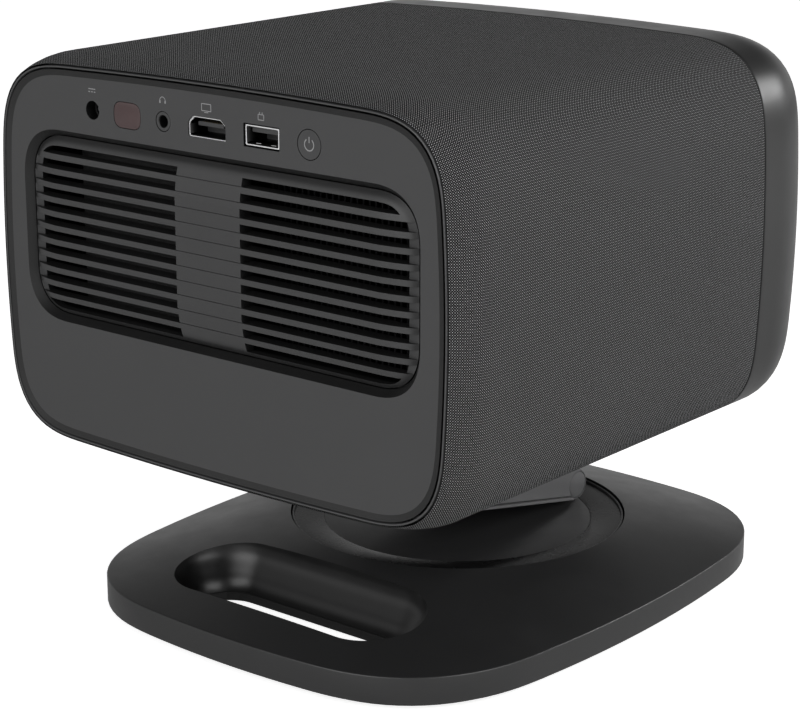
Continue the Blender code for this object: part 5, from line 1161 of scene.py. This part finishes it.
def add_box(mesh, x, half_width, depths, heights):
    """Box in depths and heights from the socket row in millimetres, round a place along the row in metres."""
    low, high = (Vector((x + side * half_width * MM, BACK_Y + depth * MM, BODY_CENTRE_Z + PORT_UP + up * MM))
                 for side, depth, up in zip((-1, 1), depths, heights))
    bmesh.ops.create_cube(mesh, size=1.0, matrix=Matrix.LocRotScale(0.5 * (low + high), None, high - low))


def build_video_socket():
    build_flat_socket("video", video_outline, VIDEO_X, *VIDEO_SIZES)
    contacts = bmesh.new()
    for side, level in zip((-1, 1), VIDEO_SIZES[2]):
        for index in range(VIDEO_CONTACTS):
            x = VIDEO_X + (index - 0.5 * (VIDEO_CONTACTS - 1) + side * VIDEO_CONTACT_OFFSET) * MM
            add_box(contacts, x, *VIDEO_CONTACT, (level - CONTACT_RISE, level + CONTACT_RISE))
    place("video_contacts", contacts, "gold", "video_socket", added=True)


def build_data_socket():
    build_flat_socket("data", data_outline, DATA_X, *DATA_SIZES)
    contacts = bmesh.new()
    for index in range(DATA_CONTACTS):
        x = DATA_X + (index - 0.5 * (DATA_CONTACTS - 1)) * DATA_CONTACT_PITCH * MM
        add_box(contacts, x, *DATA_CONTACT)
    place("data_contacts", contacts, "gold", "data_socket", added=True)
    springs = bmesh.new()
    for side in (-1, 1):
        add_box(springs, DATA_X + side * DATA_SPRING_X * MM, *DATA_SPRING)
    place("data_springs", springs, "plated", "data_socket", added=True, bevel=SPRING_BEVEL)


def build_window_and_button():
    window = sweep(window_outline, WINDOW_PROFILE, False, PORT_UP, WINDOW_X)
    place("receiver_lens", window, "receiver", "receiver_window")
    cap = round_port(BUTTON_PROFILE, 0.07, BUTTON_X, 4)
    place("button_cap", cap, "panel", "power_button", "power_button")


# Printed pictograms, with line widths and places in millimetres

PRINT_LIFT = 0.03 * MM
THIN_LINE = 0.24
LINE = 0.28
THICK_LINE = 0.36
EAR_PAD = 0.55
POWER_ARC = (math.radians(125), math.radians(415))


def stroke(mesh, points, width, centre):
    """Flat printed line on the panel through (x, up) points round a centre."""
    pairs = [Vector(point) for point in points]
    left = []
    right = []
    for index, here in enumerate(pairs):
        before = pairs[max(index - 1, 0)]
        after = pairs[min(index + 1, len(pairs) - 1)]
        normal = Vector((-(after - before).y, (after - before).x)).normalized() * 0.5 * width
        left.append(here + normal)
        right.append(here - normal)
    outline = left + right[::-1]
    layers = [[mesh.verts.new((centre[0] + p.x * MM, BACK_Y + depth, BODY_CENTRE_Z + centre[1] + p.y * MM))
               for p in outline] for depth in (-PRINT_LIFT, 0.0)]
    count = len(pairs)
    total = len(outline)
    for index in range(count - 1):
        for layer in layers:
            mesh.faces.new((layer[index], layer[index + 1], layer[total - 2 - index], layer[total - 1 - index]))
    for index in range(total):
        after = (index + 1) % total
        mesh.faces.new((layers[0][index], layers[0][after], layers[1][after], layers[1][index]))


def box_sign(mesh, reach, low, high, centre):
    frame = rectangle(-reach, reach, low, high)
    for first, last in zip(frame, frame[1:] + frame[:1]):
        stroke(mesh, (first, last), THIN_LINE, centre)


def build_print():
    marks = bmesh.new()
    centre = (DC_X, LABEL_UP)
    stroke(marks, ((-1.5, 0.45), (1.5, 0.45)), LINE, centre)
    for x in (-1.2, 0.0, 1.2):
        stroke(marks, ((x - 0.35, -0.45), (x + 0.35, -0.45)), LINE, centre)
    centre = (JACK_X, LABEL_UP + 0.1 * MM)
    stroke(marks, arc(1.15, 0.0, math.pi, 24), THIN_LINE, centre)
    for side in (-1, 1):
        stroke(marks, ((side * 1.1, 0.05), (side * 1.1, -0.75)), EAR_PAD, centre)
    centre = (VIDEO_X, LABEL_UP - 0.2 * MM)
    box_sign(marks, 1.9, -0.8, 1.3, centre)
    stroke(marks, ((-0.8, -1.25), (0.8, -1.25)), THIN_LINE, centre)
    centre = (DATA_X, LABEL_UP - 0.2 * MM)
    box_sign(marks, 1.1, -1.0, 0.6, centre)
    for side in (-1, 1):
        stroke(marks, ((side * 0.5, 0.6), (side * 0.5, 1.3)), LINE, centre)
    place("panel_marks", marks, "print", "back_panel", added=True)
    power = bmesh.new()
    centre = (BUTTON_X, PORT_UP)
    stroke(power, arc(1.75, *POWER_ARC, 40), THICK_LINE, centre)
    stroke(power, ((0.0, 0.5), (0.0, 2.3)), THICK_LINE, centre)
    place("button_mark", power, "print", "power_button", "power_button", added=True)


# Front of the body, with profiles in millimetres

RING_OUTER = ((161.9, 0.25), (162.1, 0.05), (163.0, 0.0), (168.0, 0.0), (173.6, 0.0), (177.5, 0.25),
              (181.0, 0.85), (184.4, 1.75), (187.6, 3.0), (190.6, 4.5), (193.3, 6.3), (195.8, 8.3), (197.7, 10.4),
              (198.9, 12.5), (199.5, 14.2))
RING_INNER = ((199.6, 14.8), (199.45, 15.1), (199.1, 15.25), (195.6, 15.6), (195.6, 12.0), (190.0, 8.4),
              (184.0, 5.2), (175.0, 3.7), (161.9, 3.7))
SENSOR_X = 52.0 * MM
SENSOR_UP = 18.0 * MM
SENSOR_GAP = 0.15
SENSOR_PROFILE = ((-0.3, 195.3), (-0.08, 195.22), (0.0, 195.0), (0.0, 192.7), (1.2, 192.7), (1.2, 191.7))
GLASS_SPAN = (193.0 * MM, 195.3 * MM)
GLASS_INSET = 12.6
GLASS_HOLE_RADIUS = 24.5 * MM
GLASS_BEVEL = 0.25 * MM
BEZEL_PROFILE = ((18.0, 191.5), (27.2, 191.5), (27.2, 192.7), (24.2, 192.7), (24.2, 196.6), (23.6, 197.2),
                 (22.4, 197.2), (21.6, 196.6), (21.4, 196.0), (20.6, 195.8), (20.3, 195.0), (19.6, 194.8),
                 (19.3, 194.0), (18.6, 193.8))
LENS_SEAT_DEPTH = 185.3
LENS_RADIUS = 13.5
LENS_FLANGE_RADIUS = 13.7
LENS_EDGE = 1.6
LENS_CHAMFER = 0.1
LENS_RISE = 2.2
LENS_STEPS = 12


def build_front_ring():
    profile = [(inset, depth) for depth, inset in smooth_path(RING_OUTER, 3) + list(RING_INNER)]
    place("ring_shell", sweep(front_outline, profile), "ring", "front_ring")


def lens_point():
    return (0.0, BACK_Y, BODY_CENTRE_Z + LENS_UP)


def sensor_outline(grow):
    return stadium((SENSOR_HALF_WIDTH + grow) * MM, (SENSOR_HALF_HEIGHT + grow) * MM, 24)


def build_front_panel():
    back, front = GLASS_SPAN
    panel = upright_prism(front_outline(GLASS_INSET), back, front)
    hole = cylinder(GLASS_HOLE_RADIUS, back - OVERRUN, front + OVERRUN, "Y", lens_point(), ROUND_STEPS)
    window = upright_prism(sensor_outline(SENSOR_GAP), back - OVERRUN, front + OVERRUN, SENSOR_UP, SENSOR_X)
    place("front_glass", cut(panel, hole, window), "gloss", "front_panel", bevel=GLASS_BEVEL)
    sensor = sweep(sensor_outline, SENSOR_PROFILE, False, SENSOR_UP, SENSOR_X)
    place("sensor_lens", sensor, "sensor", "sensor_window")
    bezel = turned(soft_corners(BEZEL_PROFILE, 0.25), "Y", lens_point(), ROUND_STEPS)
    place("bezel_ring", bezel, "ring", "lens_bezel")


def build_lens():
    profile = [(radius, LENS_SEAT_DEPTH + depth)
               for radius, depth in ((0.0, 0.0), (LENS_FLANGE_RADIUS, 0.0), (LENS_FLANGE_RADIUS, LENS_EDGE))]
    dome_start = LENS_SEAT_DEPTH + LENS_EDGE + LENS_CHAMFER
    for step in range(1, LENS_STEPS + 1):
        share = math.cos(0.5 * math.pi * step / LENS_STEPS) if step < LENS_STEPS else 0.0
        profile.append((LENS_RADIUS * share, dome_start + LENS_RISE * (1.0 - share ** 2)))
    points = [(r * MM, h * MM) for r, h in profile]
    place("lens_front_element", turned(points, "Y", lens_point(), ROUND_STEPS), "glass", "front_lens", "lens")


# Stage

TARGET = Vector((-8.05 * MM, -22.15 * MM, 80.97 * MM))
DISTANCE = 0.7958
AZIMUTH = 39.49
ELEVATION = 15.94
FOCAL_LENGTH = 104.96
SENSOR_WIDTH = 36.0
CLIP_START = 0.01
LAMP_TARGET = Vector((0.0, -20 * MM, 100 * MM))
LAMP_DISTANCE = 1.6

# Azimuth and elevation in degrees, width and height in metres, power in watts
LAMPS = {"key_front": (0, 20, 1.4, 1.0, 11.5), "fill_right": (85, 24, 1.2, 1.0, 12.5),
         "ring_right": (142, 17, 0.5, 0.4, 6.5)}
FLOOR_REACH = 6.0
FLOOR_Z = -0.05 * MM
FLOOR_GLOW = 0.80
FLOOR_REFLECTED = 0.05

# What reflections meet: ray heights, and the brightness added to the plain level at each
SKY_HEIGHTS = (0.05, 0.60)
SKY_ADDED = (0.50, -0.12)
SKY_LEVEL = 0.20


def put(name, data, target, distance, azimuth, elevation):
    """Set a camera or lamp at a distance and direction from its target, aimed at it."""
    item = linked(name, data)
    item.location = target + distance * direction(azimuth, elevation)
    item.rotation_euler = (target - item.location).to_track_quat("-Z", "Y").to_euler()
    return item


def direction(azimuth, elevation):
    azimuth = math.radians(azimuth)
    elevation = math.radians(elevation)
    return Vector((math.sin(azimuth) * math.cos(elevation), -math.cos(azimuth) * math.cos(elevation),
                   math.sin(elevation)))


def build_camera():
    data = bpy.data.cameras.new("camera")
    data.lens = FOCAL_LENGTH
    data.sensor_width = SENSOR_WIDTH
    data.clip_start = CLIP_START
    bpy.context.scene.camera = put("camera", data, TARGET, DISTANCE, AZIMUTH, ELEVATION)


def build_lights():
    for name, (azimuth, elevation, width, height, power) in LAMPS.items():
        data = bpy.data.lights.new(name, "AREA")
        data.shape = "RECTANGLE"
        data.size = width
        data.size_y = height
        data.energy = power
        put(name, data, LAMP_TARGET, LAMP_DISTANCE, azimuth, elevation)


def seen_directly(tree):
    """Light path outputs, and one for what the camera sees straight or through glass."""
    rays = tree.nodes.new("ShaderNodeLightPath").outputs
    return rays, math_node(tree, "MAXIMUM", rays["Is Camera Ray"], rays["Is Transmission Ray"])


def build_floor():
    mesh = bmesh.new()
    corners = rectangle(-FLOOR_REACH, FLOOR_REACH, -FLOOR_REACH, FLOOR_REACH)
    mesh.faces.new([mesh.verts.new((x, y, FLOOR_Z)) for x, y in corners])
    data = mesh_data(mesh, "floor")
    made, tree, shader, spot = start_material("pale_floor")
    paint(tree, shader, noise(tree, spot, *FLOOR_CLOUD), shaded(WHITE[:3], 0.80), shaded(WHITE[:3], 0.84))
    rays, seen = seen_directly(tree)
    glow = math_node(tree, "MULTIPLY_ADD", rays["Is Glossy Ray"], FLOOR_REFLECTED,
                     math_node(tree, "MULTIPLY", seen, FLOOR_GLOW))
    set_values(shader, Roughness=0.9, Emission_Color=WHITE)
    feed(tree, glow, shader.inputs["Emission Strength"])
    data.materials.append(made)
    linked("floor", data)


def build_world():
    world = bpy.data.worlds.new("studio")
    bpy.context.scene.world = world
    world.use_nodes = True
    tree = world.node_tree
    rays, seen = seen_directly(tree)
    height = separate(tree, coordinates(tree, "Generated"))["Z"]
    sky = map_range(tree, height, *SKY_HEIGHTS, *SKY_ADDED)
    glossy = math_node(tree, "MULTIPLY_ADD", rays["Is Glossy Ray"], sky, SKY_LEVEL)
    background = tree.nodes["Background"]
    background.inputs["Color"].default_value = WHITE
    feed(tree, math_node(tree, "MAXIMUM", seen, glossy), background.inputs["Strength"])


def main():
    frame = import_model()
    make_looks()
    dress_carried_nodes(frame)
    for build in (build_base, build_turntable, build_arm, build_sleeve, build_shell, build_back_lip,
                  build_back_panel, build_vent_insert, build_round_ports, build_video_socket, build_data_socket,
                  build_window_and_button, build_print, build_front_ring, build_front_panel, build_lens,
                  build_world, build_floor, build_lights, build_camera):
        build()
    bpy.context.scene.view_settings.view_transform = "Standard"


main()
